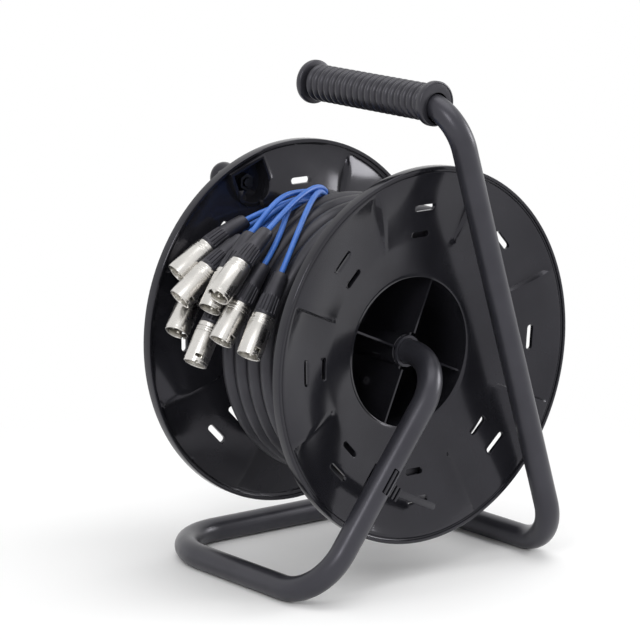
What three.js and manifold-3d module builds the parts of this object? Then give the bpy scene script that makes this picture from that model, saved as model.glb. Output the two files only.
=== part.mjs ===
// Multicore cable drum. A stand bent from one steel tube carries a drum on the tube's own end,
// which is the axle. The drum is two plastic mouldings bolted back to back, wound with a
// multicore cable whose eight tails end in three-pin plugs. Millimetres, +Z up. The origin lies
// on the floor below the middle of the drum, and the drum turns about an axis along +Y.
import * as THREE from 'three';
import { mergeVertices } from 'three/addons/utils/BufferGeometryUtils.js';
import Module from 'manifold-3d';

const wasm = await Module();
wasm.setup();

// Stand tube
const TUBE_DIAMETER = 19.2;
const TUBE_WALL = 1.5;
const AXLE_HEIGHT = 173.6;
const STAND_HALF_WIDTH = 122;
const STAND_FRONT = 103.6;
const STAND_BACK = 91;
const HANDLE_HEIGHT = 366;
const LEG_BEND_RADIUS = 40;
const BACK_BEND_RADIUS = 57;
const GRIP_BEND_RADIUS = 35;
const TUBE_SIDES = 16;
const BEND_STEPS = 6;

// Handle grip
const GRIP_FRONT = 84;
const GRIP_BACK = 61;
const GRIP_RIB_DIAMETER = 28.4;
const GRIP_COLLAR_DIAMETER = 34;
const GRIP_COLLAR_WIDTH = 6;
const GRIP_MOUTH_DIAMETER = 30.4;
const GRIP_MOUTH_DEPTH = 16;
const GRIP_RIB_COUNT = 19;
const GRIP_RIB_DEPTH = 2;
const GRIP_END_WALL = 4;
const GRIP_SIDES = 14;

// Drum mouldings
const FLANGE_DIAMETER = 290;
const DRUM_WIDTH = 164;
const BARREL_BORE_DIAMETER = 115;
const DISH_DEPTH = 20;
const FLANGE_WALL = 3;
const RIM_LIP_DEPTH = 8;
const RIM_LIP_WALL = 2.6;
const RIM_GROOVE = 1.4;
const SECTOR_COUNT = 8;
const STEP_HEIGHT = 5.5;
const STEP_FOOT_DEGREES = 0.7;
const STEPS_PER_SECTOR = 4;
const SLOT_RIM_DISTANCE = 32;
const SLOT_ROW_DISTANCE = 21;
const OUTER_SLOT_LENGTH = 20;
const INNER_SLOT_LENGTH = 17;
const SLOT_WIDTH = 5;
const CORE_RIB_COUNT = 4;
const CORE_RIB_WALL = 1.6;
const CORE_RIB_RECESS = 2;
const WEB_WALL = 3;
const HUB_WALL = 2.4;
const HUB_RECESS = 6;
const BOLT_CIRCLE_RADIUS = 32;
const BOLT_DIAMETER = 3;
const BOLT_HEAD_DIAMETER = 6.6;
const BOLT_HEAD_HEIGHT = 2.6;
const BOLT_BOSS_WALL = 3;
const BOLT_BOSS_HEIGHT = 8;

// Axle fittings
const STOP_RING_WIDTH = 3;
const WASHER_DIAMETER = 28;
const WASHER_THICKNESS = 2;
const END_CAP_DIAMETER = 25;
const END_CAP_THICKNESS = 3;
const END_CAP_DEPTH = 16;
const AXLE_SCREW_DIAMETER = 4.4;
const AXLE_SCREW_HEAD_DIAMETER = 9;
const AXLE_SCREW_HEAD_HEIGHT = 3;

// Crank
const CRANK_RIM_DISTANCE = 21;
const CRANK_DEGREES = 112.5;
const CRANK_POCKET_WIDTH = 30;
const CRANK_POCKET_DEPTH = 10;
const KNOB_DIAMETER = 24;
const KNOB_LENGTH = 25.7;
const CRANK_BOLT_DIAMETER = 7;
const CRANK_BOLT_HEAD_DIAMETER = 13;
const CRANK_BOLT_HEAD_HEIGHT = 3.6;
const CRANK_NUT_DIAMETER = 14;
const CRANK_NUT_HEIGHT = 4;

// Drum lock lever, which rocks in a slot through the leg
const LOCK_ALONG_LEG = 102;
const LOCK_SLOT_WIDTH = 6.4;
const LOCK_PLATE_LENGTH = 20;
const LOCK_PLATE_WALL = 2.6;
const LOCK_TONGUE_WALL = 4.4;
const LOCK_REACH = 67.6;
const LOCK_RISE = 9.8;
const LOCK_TONGUE_ROOT = 11;
const LOCK_TONGUE_TIP = 5.6;
const LOCK_TOOTH_DIAMETER = 3;
const LOCK_TOOTH_LENGTH = 9;
const LOCK_GRIP_RIBS = 5;
const LOCK_GRIP_RIB_HEIGHT = 1;

// Cable
const CABLE_DIAMETER = 14.5;
const WINDING_RADIUS = 104;
const WINDING_END_RADIUS = 98.5;
const WINDING_START_RADIUS = 86;
const WINDING_START_PLACE = -53.5;
const WINDING_PITCH = 15.2;
const WINDING_START_DEGREES = -1786;
const WINDING_LAST_DEGREES = 180;
const WINDING_LAST_PLACE = 25;
const WINDING_END_DEGREES = 439.5;
const DIVE_DEGREES = 60;
const LOOP_STEPS = 24;
const CABLE_SIDES = 6;
const FAR_CORE_RADIUS = 84;
const SLEEVE_DIAMETER = 16;
const SLEEVE_LENGTH = 12;
const TAIL_DIAMETER = 4.3;
const TAIL_SIDES = 8;
const TAIL_STEPS = 9;
const TAIL_FAN_SHARE = 0.15;

// Plugs
const SHELL_DIAMETER = 19;
const SHELL_BORE_DIAMETER = 15.8;
const SHELL_LENGTH = 32.5;
const SHELL_MOUTH_DEPTH = 13;
const SHELL_RING_WIDTH = 2;
const INSERT_THICKNESS = 6;
const PIN_COUNT = 3;
const PIN_DIAMETER = 2.4;
const PIN_LENGTH = 11;
const PIN_CIRCLE_DIAMETER = 8;
const BOOT_LENGTH = 37;
const BOOT_LEAN = 4;
const BOOT_FLUTED_LENGTH = 16;
const BOOT_DIAMETER = 17;
const BOOT_SLEEVE_DIAMETER = 14;
const BOOT_TIP_DIAMETER = 11;
const BOOT_SOCKET_DEPTH = 5;

// Where each plug lies: the angle round the drum and the place of its shell's rear, as shares of
// the winding's radius and of half the drum's width, how far it lifts off the winding and turns
// towards the front, and its tail's place in the ring of tails.
const PLUGS = [
  { degrees: 145.1, radiusShare: 1.233, acrossShare: 0.662, lift: 18, turn: -9.6, ring: 26 },
  { degrees: 152.8, radiusShare: 1.267, acrossShare: 0.463, lift: 21.9, turn: -7.2, ring: null },
  { degrees: 149.1, radiusShare: 1.3158, acrossShare: -0.011, lift: 18.1, turn: 7.4, ring: 129 },
  { degrees: 152.2, radiusShare: 1.2558, acrossShare: 0.2, lift: 10.4, turn: 7.3, ring: 77 },
  { degrees: 163, radiusShare: 1.19, acrossShare: 0.69, lift: 21.1, turn: 13.6, ring: -26 },
  { degrees: 161.4, radiusShare: 1.227, acrossShare: -0.074, lift: 20.3, turn: 4.4, ring: 231 },
  { degrees: 163.2, radiusShare: 1.2, acrossShare: -0.388, lift: 16, turn: 8.1, ring: 180 },
  { degrees: 170.5, radiusShare: 1.234, acrossShare: 0.275, lift: 22, turn: 6, ring: -77 },
];

// How far each tail keeps its start's heading, lifts off the drum and keeps its end's heading, as
// shares of the straight way between its ends.
const TAIL_SHARES = [
  { start: 0.184, lift: -0.054, end: 0.2 },
  { start: 0.5, lift: -0.12, end: 0.3 },
  { start: 0.2, lift: 0.14, end: 0.3 },
  { start: 0.45, lift: -0.12, end: 0.53 },
  { start: 0.3, lift: -0.15, end: 0.36 },
  { start: 0.544, lift: -0.05, end: 0.579 },
  { start: 0.2, lift: 0.13, end: 0.46 },
  { start: 0.605, lift: -0.175, end: 0.12 },
];

const GAP = 0.3;
const OVERRUN = 1;
const MERGE_DISTANCE = 1e-4;

// Facets round each kind of piece
const WEB_SIDES = 24;
const HUB_SIDES = 18;
const BOSS_SIDES = 8;
const HOLE_SIDES = 8;
const SLOT_END_STEPS = 2;
const POCKET_END_STEPS = 8;
const RING_SIDES = 16;
const SCREW_SIDES = 8;
const NUT_SIDES = 6;
const KNOB_SIDES = 14;
const CORE_SIDES = 30;
const SLEEVE_SIDES = 16;
const SHELL_SIDES = 16;
const INSERT_SIDES = 12;
const PIN_SIDES = 6;
const BOOT_SIDES = 12;

const tubeRadius = TUBE_DIAMETER / 2;
const hubRadius = tubeRadius + GAP + HUB_WALL;
const rimRadius = FLANGE_DIAMETER / 2;
const boreRadius = BARREL_BORE_DIAMETER / 2;
const outerSlotRadius = rimRadius - SLOT_RIM_DISTANCE;
const innerSlotRadius = outerSlotRadius - SLOT_ROW_DISTANCE;
const crankRadius = rimRadius - CRANK_RIM_DISTANCE;
const cableRadius = CABLE_DIAMETER / 2;

const STEEL_BLACK = { color: 0x2b2b2e, roughness: 0.5, metalness: 0.2 };
const PLASTIC_BLACK = { color: 0x1b1b1d, roughness: 0.22, metalness: 0 };
const RUBBER_BLACK = { color: 0x2a2a2c, roughness: 0.75, metalness: 0 };
const CABLE_BLACK = { color: 0x222224, roughness: 0.6, metalness: 0 };
const TAIL_BLUE = { color: 0x2456b8, roughness: 0.45, metalness: 0 };
const NICKEL = { color: 0xbdb9b0, roughness: 0.3, metalness: 1 };
const ZINC = { color: 0xa9abad, roughness: 0.4, metalness: 1 };

// Merge shared corners, drop triangles that have no area, and turn the faces outwards.
function closed(geometry) {
  const bare = new THREE.BufferGeometry();
  bare.setAttribute('position', geometry.getAttribute('position'));
  bare.setIndex(geometry.getIndex());
  const merged = mergeVertices(bare, MERGE_DISTANCE);
  const place = merged.getAttribute('position');
  const index = merged.getIndex();
  const corner = [new THREE.Vector3(), new THREE.Vector3(), new THREE.Vector3()];
  const kept = [];
  let volume = 0;
  for (let i = 0; i < index.count; i += 3) {
    const [a, b, c] = [index.getX(i), index.getX(i + 1), index.getX(i + 2)];
    if (a === b || b === c || c === a) continue;
    kept.push(a, b, c);
    [a, b, c].forEach((vertex, k) => corner[k].fromBufferAttribute(place, vertex));
    volume += corner[0].dot(corner[1].cross(corner[2]));
  }
  if (volume < 0) kept.reverse();
  merged.setIndex(kept);
  return merged;
}

function toSolid(geometry) {
  const shell = closed(geometry);
  return new wasm.Manifold(new wasm.Mesh({
    numProp: 3,
    vertProperties: new Float32Array(shell.getAttribute('position').array),
    triVerts: new Uint32Array(shell.getIndex().array),
  }));
}

function toGeometry(solid) {
  const mesh = solid.getMesh();
  const geometry = new THREE.BufferGeometry();
  geometry.setAttribute('position', new THREE.BufferAttribute(new Float32Array(mesh.vertProperties), 3));
  geometry.setIndex(new THREE.BufferAttribute(new Uint32Array(mesh.triVerts), 1));
  return geometry;
}

// A body of revolution about Y. The outline is a closed loop of [radius, height] points.
function turned(outline, sides) {
  const loop = [...outline, outline[0]].map(([radius, height]) => new THREE.Vector2(radius, height));
  return closed(new THREE.LatheGeometry(loop, sides));
}

// The corner radius of a faceted bore whose flats keep the clearance from a round piece.
function boreFor(radius, sides) {
  return (radius + GAP) / Math.cos(Math.PI / sides);
}

// A plain pin along Y between two heights.
function pin(radius, low, high, sides) {
  return turned([[0, low], [radius, low], [radius, high], [0, high]], sides);
}

// Rings of equally many points, joined one to the next and closed at both ends.
function joinRings(rings) {
  const count = rings[0].length;
  const places = rings.flat();
  const faces = [];
  for (let ring = 0; ring + 1 < rings.length; ring += 1) {
    for (let side = 0; side < count; side += 1) {
      const next = (side + 1) % count;
      const here = ring * count;
      const beyond = here + count;
      faces.push(here + side, here + next, beyond + next);
      faces.push(here + side, beyond + next, beyond + side);
    }
  }
  const last = (rings.length - 1) * count;
  for (let side = 1; side + 1 < count; side += 1) {
    faces.push(0, side + 1, side);
    faces.push(last, last + side, last + side + 1);
  }
  const geometry = new THREE.BufferGeometry();
  geometry.setFromPoints(places);
  geometry.setIndex(faces);
  return closed(geometry);
}

// A line through chosen stations that an extrusion follows station by station. The section's
// first axis starts along the given direction and is carried along without twist.
class StationLine extends THREE.Curve {
  constructor(stations, firstNormal) {
    super();
    this.stations = stations;
    this.firstNormal = firstNormal;
  }

  getUtoTmapping(share) {
    return share;
  }

  getPoint(share) {
    const place = share * (this.stations.length - 1);
    const before = Math.min(Math.floor(place), this.stations.length - 2);
    return this.stations[before].point.clone().lerp(this.stations[before + 1].point, place - before);
  }

  computeFrenetFrames() {
    const tangents = this.stations.map((station) => station.tangent);
    const normals = [this.firstNormal.clone().projectOnPlane(tangents[0]).normalize()];
    for (let i = 1; i < tangents.length; i += 1) {
      const carried = normals[i - 1].clone();
      const turn = new THREE.Quaternion().setFromUnitVectors(tangents[i - 1], tangents[i]);
      normals.push(carried.applyQuaternion(turn).normalize());
    }
    const binormals = tangents.map((tangent, i) => tangent.clone().cross(normals[i]));
    return { tangents, normals, binormals };
  }
}

function polygon(radius, sides, startDegrees = 0) {
  const start = THREE.MathUtils.degToRad(startDegrees);
  const points = Array.from({ length: sides }, (_, i) => {
    const angle = start + (2 * Math.PI * i) / sides;
    return new THREE.Vector2(radius * Math.cos(angle), radius * Math.sin(angle));
  });
  return new THREE.Shape(points);
}

function tubeAlong(stations, firstNormal, radius, sides, startDegrees = 0) {
  const extrudePath = new StationLine(stations, firstNormal);
  const steps = stations.length - 1;
  return closed(new THREE.ExtrudeGeometry(polygon(radius, sides, startDegrees), { extrudePath, steps }));
}

// The stations of a line that runs straight between corners and is bent round at each.
function bentLine(corners, radii) {
  const stations = [];
  const heading = (from, to) => to.clone().sub(from).normalize();
  const firstHeading = heading(corners[0], corners[1]);
  stations.push({ point: corners[0], tangent: firstHeading });
  for (let i = 1; i + 1 < corners.length; i += 1) {
    const into = heading(corners[i - 1], corners[i]);
    const out = heading(corners[i], corners[i + 1]);
    const turn = into.angleTo(out);
    const axis = into.clone().cross(out).normalize();
    const reach = radii[i - 1] * Math.tan(turn / 2);
    const centre = corners[i].clone().addScaledVector(into, -reach)
      .addScaledVector(axis.clone().cross(into), radii[i - 1]);
    const arm = corners[i].clone().addScaledVector(into, -reach).sub(centre);
    for (let step = 0; step <= BEND_STEPS; step += 1) {
      const angle = (turn * step) / BEND_STEPS;
      stations.push({
        point: centre.clone().add(arm.clone().applyAxisAngle(axis, angle)),
        tangent: into.clone().applyAxisAngle(axis, angle),
      });
    }
  }
  const end = corners.length - 1;
  stations.push({ point: corners[end], tangent: heading(corners[end - 1], corners[end]) });
  return stations;
}

function mesh(name, geometry, look, parent) {
  const piece = new THREE.Mesh(geometry, new THREE.MeshStandardMaterial(look));
  piece.name = name;
  parent.add(piece);
  return piece;
}

function turnedBy(geometry, axis, degrees) {
  return geometry.clone().applyMatrix4(
    new THREE.Matrix4().makeRotationAxis(axis, THREE.MathUtils.degToRad(degrees)),
  );
}

const alongY = new THREE.Vector3(0, 1, 0);
const alongZ = new THREE.Vector3(0, 0, 1);

// How high the dish's outer face stands above the middle of the drum at a radius.
function dishHeight(radius) {
  return DRUM_WIDTH / 2 - (DISH_DEPTH * (rimRadius - radius)) / (rimRadius - boreRadius);
}

const hubEnd = dishHeight(boreRadius) - HUB_RECESS;
const coreRibEnd = dishHeight(boreRadius) - CORE_RIB_RECESS;

const part = new THREE.Group();
const drum = new THREE.Group();
drum.position.set(0, 0, AXLE_HEIGHT);
part.add(drum);

// Stand: axle, leg, three floor bars, upright and handle are one bent tube. Its floor bars have
// a flat facet below, on the floor.
const washerFace = hubEnd + GAP;
const axleEnd = washerFace + WASHER_THICKNESS + GAP;
const handleEnd = GRIP_BACK - GRIP_END_WALL - GAP;
const flatRadius = tubeRadius * Math.cos(Math.PI / TUBE_SIDES);
const legLean = Math.atan2(STAND_HALF_WIDTH, AXLE_HEIGHT - flatRadius);

function makeStandTube() {
  const corners = [
    [0, axleEnd, AXLE_HEIGHT],
    [0, -STAND_FRONT, AXLE_HEIGHT],
    [-STAND_HALF_WIDTH, -STAND_FRONT, flatRadius],
    [-STAND_HALF_WIDTH, STAND_BACK, flatRadius],
    [STAND_HALF_WIDTH, STAND_BACK, flatRadius],
    [STAND_HALF_WIDTH, -STAND_FRONT, flatRadius],
    [0, -STAND_FRONT, HANDLE_HEIGHT],
    [0, handleEnd, HANDLE_HEIGHT],
  ].map((corner) => new THREE.Vector3(...corner));
  const radii = [LEG_BEND_RADIUS, LEG_BEND_RADIUS, BACK_BEND_RADIUS, BACK_BEND_RADIUS,
    LEG_BEND_RADIUS, GRIP_BEND_RADIUS];
  // The axle's section is turned so that, carried round two bends, it stands upright on the floor.
  const legSide = new THREE.Vector3(-Math.cos(legLean), 0, Math.sin(legLean));
  const sectionTurn = 180 / TUBE_SIDES - THREE.MathUtils.radToDeg(legLean);
  const tube = toSolid(tubeAlong(bentLine(corners, radii), legSide, tubeRadius, TUBE_SIDES, sectionTurn));
  const boreSides = TUBE_SIDES / 2;
  const axleBore = pin(tubeRadius - TUBE_WALL, axleEnd - END_CAP_DEPTH - GAP, axleEnd + OVERRUN, boreSides)
    .translate(0, 0, AXLE_HEIGHT);
  const lockSlot = new THREE.BoxGeometry(
    LOCK_SLOT_WIDTH, TUBE_DIAMETER + OVERRUN, LOCK_PLATE_LENGTH + 2 * GAP,
  );
  const slotPlace = lockFrame();
  return toGeometry(tube.subtract(toSolid(axleBore)).subtract(toSolid(lockSlot.applyMatrix4(slotPlace))));
}

// The lock's own frame on the leg: X square to the leg and down towards the right, Z up the leg.
function lockFrame() {
  const down = new THREE.Vector3(-Math.sin(legLean), 0, -Math.cos(legLean));
  const centre = new THREE.Vector3(0, -STAND_FRONT, AXLE_HEIGHT).addScaledVector(down, LOCK_ALONG_LEG);
  return new THREE.Matrix4().makeRotationY(legLean).setPosition(centre);
}

mesh('stand_tube', makeStandTube(), STEEL_BLACK, part);

// Grip: a ribbed sleeve with a collar at each end, closed at the back, its mouth widened for the
// bend of the tube.
function makeGrip() {
  const ribRadius = GRIP_RIB_DIAMETER / 2;
  const collarRadius = GRIP_COLLAR_DIAMETER / 2;
  const mouthRadius = GRIP_MOUTH_DIAMETER / 2;
  const bore = boreFor(tubeRadius, GRIP_SIDES);
  const edge = GRIP_COLLAR_WIDTH / 5;
  const ribsStart = -GRIP_FRONT + GRIP_COLLAR_WIDTH;
  const ribsLength = GRIP_FRONT + GRIP_BACK - 2 * GRIP_COLLAR_WIDTH;
  const pitch = ribsLength / (GRIP_RIB_COUNT + 0.5);
  const outline = [
    [mouthRadius, -GRIP_FRONT],
    [collarRadius - edge, -GRIP_FRONT],
    [collarRadius, -GRIP_FRONT + edge],
    [collarRadius, ribsStart - edge],
    [collarRadius - edge, ribsStart],
  ];
  for (let rib = 0; rib < GRIP_RIB_COUNT; rib += 1) {
    outline.push([ribRadius - GRIP_RIB_DEPTH, ribsStart + rib * pitch + pitch / 4]);
    outline.push([ribRadius, ribsStart + (rib + 1) * pitch - pitch / 4]);
  }
  outline.push(
    [ribRadius - GRIP_RIB_DEPTH, GRIP_BACK - GRIP_COLLAR_WIDTH],
    [collarRadius - edge, GRIP_BACK - GRIP_COLLAR_WIDTH],
    [collarRadius, GRIP_BACK - GRIP_COLLAR_WIDTH + edge],
    [collarRadius, GRIP_BACK - 2 * edge],
    [collarRadius - 2 * edge, GRIP_BACK],
    [0, GRIP_BACK],
    [0, GRIP_BACK - GRIP_END_WALL],
    [bore, GRIP_BACK - GRIP_END_WALL],
    [bore, -GRIP_FRONT + GRIP_MOUTH_DEPTH],
  );
  return turned(outline, GRIP_SIDES).translate(0, 0, HANDLE_HEIGHT);
}

mesh('handle_grip', makeGrip(), RUBBER_BLACK, part);

// Drum moulding, its outer side towards +Y: a dished flange with a lipped rim, half the barrel,
// a web, a hub on four ribs, and eight sectors that each rise to a step, like turbine blades.
const RING_SHARES = [0, 0.34, 0.55, 0.75, 0.87, 0.945];
const RISE_SHARES = [0, 0, 0.7, 1, 0.7, 0];

function flangeOutline() {
  const lipRadius = rimRadius - RIM_LIP_WALL;
  const rings = RING_SHARES.map((share, i) => {
    const radius = boreRadius + share * (rimRadius - boreRadius);
    return { radius, height: dishHeight(radius), rise: RISE_SHARES[i] * STEP_HEIGHT };
  });
  const flat = (radius, height) => ({ radius, height, rise: 0 });
  const underside = rings.slice(1).reverse().map((ring) => ({ ...ring, height: ring.height - FLANGE_WALL }));
  const barrelRadius = boreRadius + FLANGE_WALL;
  return [
    ...rings,
    flat(lipRadius - RIM_GROOVE, dishHeight(lipRadius) - RIM_GROOVE),
    flat(lipRadius, DRUM_WIDTH / 2),
    flat(rimRadius, DRUM_WIDTH / 2),
    flat(rimRadius, DRUM_WIDTH / 2 - RIM_LIP_DEPTH),
    flat(lipRadius, DRUM_WIDTH / 2 - RIM_LIP_DEPTH),
    flat(lipRadius, dishHeight(lipRadius) - RIM_GROOVE - FLANGE_WALL),
    ...underside,
    flat(barrelRadius, dishHeight(barrelRadius) - FLANGE_WALL),
    flat(barrelRadius, GAP / 2),
    flat(boreRadius, GAP / 2),
  ];
}

// The flange and barrel as one loop of points, set out at stations round the drum.
function makeSectoredFlange() {
  const outline = flangeOutline();
  const sector = 360 / SECTOR_COUNT;
  const columns = [];
  for (let i = 0; i < SECTOR_COUNT; i += 1) {
    for (let step = 0; step <= STEPS_PER_SECTOR; step += 1) {
      const share = step / STEPS_PER_SECTOR;
      const degrees = sector * (i + 0.5) + share * (sector - STEP_FOOT_DEGREES);
      const angle = THREE.MathUtils.degToRad(degrees);
      columns.push(outline.map(({ radius, height, rise }) => new THREE.Vector3(
        radius * Math.cos(angle), height + rise * (0.5 - share), radius * Math.sin(angle),
      )));
    }
  }
  const faces = [];
  const count = outline.length;
  columns.forEach((_, i) => {
    const here = i * count;
    const beyond = ((i + 1) % columns.length) * count;
    for (let k = 0; k < count; k += 1) {
      const next = (k + 1) % count;
      faces.push(here + k, here + next, beyond + next, here + k, beyond + next, beyond + k);
    }
  });
  const geometry = new THREE.BufferGeometry();
  geometry.setFromPoints(columns.flat());
  geometry.setIndex(faces);
  return toSolid(geometry);
}

// A slot with round ends, upright on the drum's axis, its length across the radius.
function slotCutter(radius, length, degrees) {
  const half = length / 2 - SLOT_WIDTH / 2;
  const shape = new THREE.Shape();
  shape.absarc(half, 0, SLOT_WIDTH / 2, -Math.PI / 2, Math.PI / 2, false);
  shape.absarc(-half, 0, SLOT_WIDTH / 2, Math.PI / 2, 1.5 * Math.PI, false);
  const cutter = new THREE.ExtrudeGeometry(shape, {
    depth: DRUM_WIDTH / 2, bevelEnabled: false, curveSegments: SLOT_END_STEPS,
  });
  cutter.rotateX(-Math.PI / 2).translate(0, FLANGE_WALL + WEB_WALL, -radius);
  return turnedBy(cutter, alongY, degrees);
}

function boltPlaces() {
  return Array.from({ length: CORE_RIB_COUNT }, (_, i) => {
    const angle = THREE.MathUtils.degToRad((360 / CORE_RIB_COUNT) * (i + 0.5));
    return new THREE.Vector3(BOLT_CIRCLE_RADIUS * Math.cos(angle), 0, BOLT_CIRCLE_RADIUS * Math.sin(angle));
  });
}

const boltHoleRadius = boreFor(BOLT_DIAMETER / 2, HOLE_SIDES);
const bossEnd = GAP / 2 + WEB_WALL + BOLT_BOSS_HEIGHT;

function makeMoulding(withCrank) {
  const inner = [];
  const barrelOverlap = boreRadius + FLANGE_WALL / 2;
  inner.push(pin(barrelOverlap, GAP / 2, GAP / 2 + WEB_WALL, WEB_SIDES));
  inner.push(pin(hubRadius, GAP / 2, hubEnd, HUB_SIDES));
  for (let i = 0; i < CORE_RIB_COUNT; i += 1) {
    const rib = new THREE.BoxGeometry(barrelOverlap, coreRibEnd - GAP / 2, CORE_RIB_WALL)
      .translate(barrelOverlap / 2, (coreRibEnd + GAP / 2) / 2, 0);
    inner.push(turnedBy(rib, alongY, (360 / CORE_RIB_COUNT) * (i + 0.75)));
  }
  boltPlaces().forEach((place) => {
    const boss = pin(boltHoleRadius + BOLT_BOSS_WALL, GAP / 2, bossEnd, BOSS_SIDES);
    inner.push(boss.translate(place.x, 0, place.z));
  });
  let solid = makeSectoredFlange();
  inner.forEach((geometry) => {
    solid = solid.add(toSolid(geometry));
  });
  if (withCrank) solid = solid.add(toSolid(crankPocket(FLANGE_WALL, 0)));
  const cutters = [
    pin(boreFor(tubeRadius, HUB_SIDES), -OVERRUN, hubEnd + OVERRUN, HUB_SIDES),
    pin(boreFor(WASHER_DIAMETER / 2, HUB_SIDES), hubEnd, dishHeight(boreRadius), HUB_SIDES),
  ];
  boltPlaces().forEach((place) => {
    const hole = pin(boltHoleRadius, -OVERRUN, bossEnd + OVERRUN, HOLE_SIDES);
    cutters.push(hole.translate(place.x, 0, place.z));
  });
  for (let i = 0; i < SECTOR_COUNT; i += 1) {
    const degrees = (360 / SECTOR_COUNT) * i;
    cutters.push(slotCutter(outerSlotRadius, OUTER_SLOT_LENGTH, degrees));
    cutters.push(slotCutter(innerSlotRadius, INNER_SLOT_LENGTH, degrees));
  }
  if (withCrank) {
    cutters.push(crankPocket(0, OVERRUN + FLANGE_WALL));
    const hole = pin(boreFor(CRANK_BOLT_DIAMETER / 2, HOLE_SIDES), 0, DRUM_WIDTH, HOLE_SIDES);
    cutters.push(hole.translate(...crankPlace()));
  }
  cutters.forEach((geometry) => {
    solid = solid.subtract(toSolid(geometry));
  });
  return toGeometry(solid);
}

// Crank pocket: a tongue-shaped hollow in the inner face of the far flange, closed outside.
const pocketFloor = dishHeight(crankRadius) - FLANGE_WALL + CRANK_POCKET_DEPTH;

function crankPlace() {
  const angle = THREE.MathUtils.degToRad(CRANK_DEGREES);
  return [crankRadius * Math.cos(angle), 0, crankRadius * Math.sin(angle)];
}

function crankPocket(wall, reachInside) {
  const half = CRANK_POCKET_WIDTH / 2 + wall;
  const outerHalf = CRANK_POCKET_WIDTH / 2 + FLANGE_WALL;
  const outward = Math.sqrt((rimRadius - RIM_LIP_WALL) ** 2 - outerHalf ** 2) - crankRadius
    - FLANGE_WALL + wall;
  const shape = new THREE.Shape();
  shape.absarc(0, 0, half, Math.PI, 2 * Math.PI, false);
  shape.lineTo(half, outward);
  shape.lineTo(-half, outward);
  const low = dishHeight(crankRadius - half) - FLANGE_WALL / 2 - reachInside;
  const pocket = new THREE.ExtrudeGeometry(shape, {
    depth: pocketFloor + wall - low, bevelEnabled: false, curveSegments: POCKET_END_STEPS,
  });
  pocket.rotateX(Math.PI / 2).translate(0, pocketFloor + wall, crankRadius);
  return turnedBy(pocket, alongY, 90 - CRANK_DEGREES);
}

mesh('far_drum_half', makeMoulding(true), PLASTIC_BLACK, drum);
mesh('near_drum_half', turnedBy(makeMoulding(false), alongZ, 180), PLASTIC_BLACK, drum);

// Axle fittings: a ring that stops the drum before the leg's bend, and a washer, a cap pressed
// into the tube and a screw that hold it at the far end.
function makeRing(outerRadius, low, width) {
  const bore = boreFor(tubeRadius, RING_SIDES);
  const high = low + width;
  const edge = width / 4;
  return turned([
    [bore, low], [outerRadius, low], [outerRadius, high - edge], [outerRadius - edge, high], [bore, high],
  ], RING_SIDES).translate(0, 0, AXLE_HEIGHT);
}

const stopRing = makeRing(hubRadius, -hubEnd - GAP - STOP_RING_WIDTH, STOP_RING_WIDTH);
mesh('axle_stop_ring', stopRing, STEEL_BLACK, part);
mesh('thrust_washer', makeRing(WASHER_DIAMETER / 2, washerFace, WASHER_THICKNESS), ZINC, part);

const capFace = axleEnd + GAP;
const capPlugRadius = (tubeRadius - TUBE_WALL) * Math.cos((2 * Math.PI) / TUBE_SIDES) - GAP;
const screwHoleRadius = boreFor(AXLE_SCREW_DIAMETER / 2, TUBE_SIDES);
const endCap = turned([
  [screwHoleRadius, axleEnd - END_CAP_DEPTH],
  [capPlugRadius, axleEnd - END_CAP_DEPTH],
  [capPlugRadius, capFace],
  [END_CAP_DIAMETER / 2, capFace],
  [END_CAP_DIAMETER / 2 - END_CAP_THICKNESS / 3, capFace + END_CAP_THICKNESS],
  [screwHoleRadius, capFace + END_CAP_THICKNESS],
], TUBE_SIDES);
mesh('axle_end_cap', endCap.translate(0, 0, AXLE_HEIGHT), PLASTIC_BLACK, part);

function makeScrew(shankRadius, headRadius, headHeight, tip, seat) {
  const top = seat + headHeight;
  return turned([
    [0, tip], [shankRadius, tip], [shankRadius, seat],
    [headRadius, seat], [headRadius, seat + headHeight / 2], [headRadius / 2, top], [0, top],
  ], SCREW_SIDES);
}

const axleScrew = makeScrew(
  AXLE_SCREW_DIAMETER / 2, AXLE_SCREW_HEAD_DIAMETER / 2, AXLE_SCREW_HEAD_HEIGHT,
  axleEnd - END_CAP_DEPTH + OVERRUN, capFace + END_CAP_THICKNESS + GAP,
);
mesh('axle_screw', axleScrew.translate(0, 0, AXLE_HEIGHT), ZINC, part);

function makeNut(boltRadius, nutRadius, height, top) {
  const bore = boreFor(boltRadius, NUT_SIDES);
  const low = top - height;
  return turned([[bore, low], [nutRadius, low], [nutRadius, top], [bore, top]], NUT_SIDES);
}

// Four bolts and nuts through the bosses hold the two mouldings together.
function joinSolids(geometries) {
  return toGeometry(wasm.Manifold.union(geometries.map(toSolid)));
}

const boltSeat = bossEnd + GAP;
const boltTip = boltSeat + BOLT_HEAD_HEIGHT + OVERRUN;
const boltHeadRadius = BOLT_HEAD_DIAMETER / 2;
boltPlaces().forEach((place, i) => {
  const bolt = makeScrew(BOLT_DIAMETER / 2, boltHeadRadius, BOLT_HEAD_HEIGHT, -boltTip, boltSeat);
  mesh(`drum_bolt_${i + 1}`, bolt.translate(place.x, 0, place.z), ZINC, drum);
  const nut = makeNut(BOLT_DIAMETER / 2, boltHeadRadius, BOLT_HEAD_HEIGHT, -boltSeat);
  mesh(`drum_nut_${i + 1}`, nut.translate(place.x, 0, place.z), ZINC, drum);
});

// Crank: a knob that turns on a bolt through the pocket's floor.
const crank = new THREE.Group();
crank.position.set(...crankPlace());
drum.add(crank);
const knobFoot = pocketFloor + FLANGE_WALL + GAP;
const knobEnd = knobFoot + KNOB_LENGTH;
const crankHeadSeat = knobEnd - CRANK_BOLT_HEAD_HEIGHT - 2 * GAP;
const crankBoltRadius = CRANK_BOLT_DIAMETER / 2;

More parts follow.
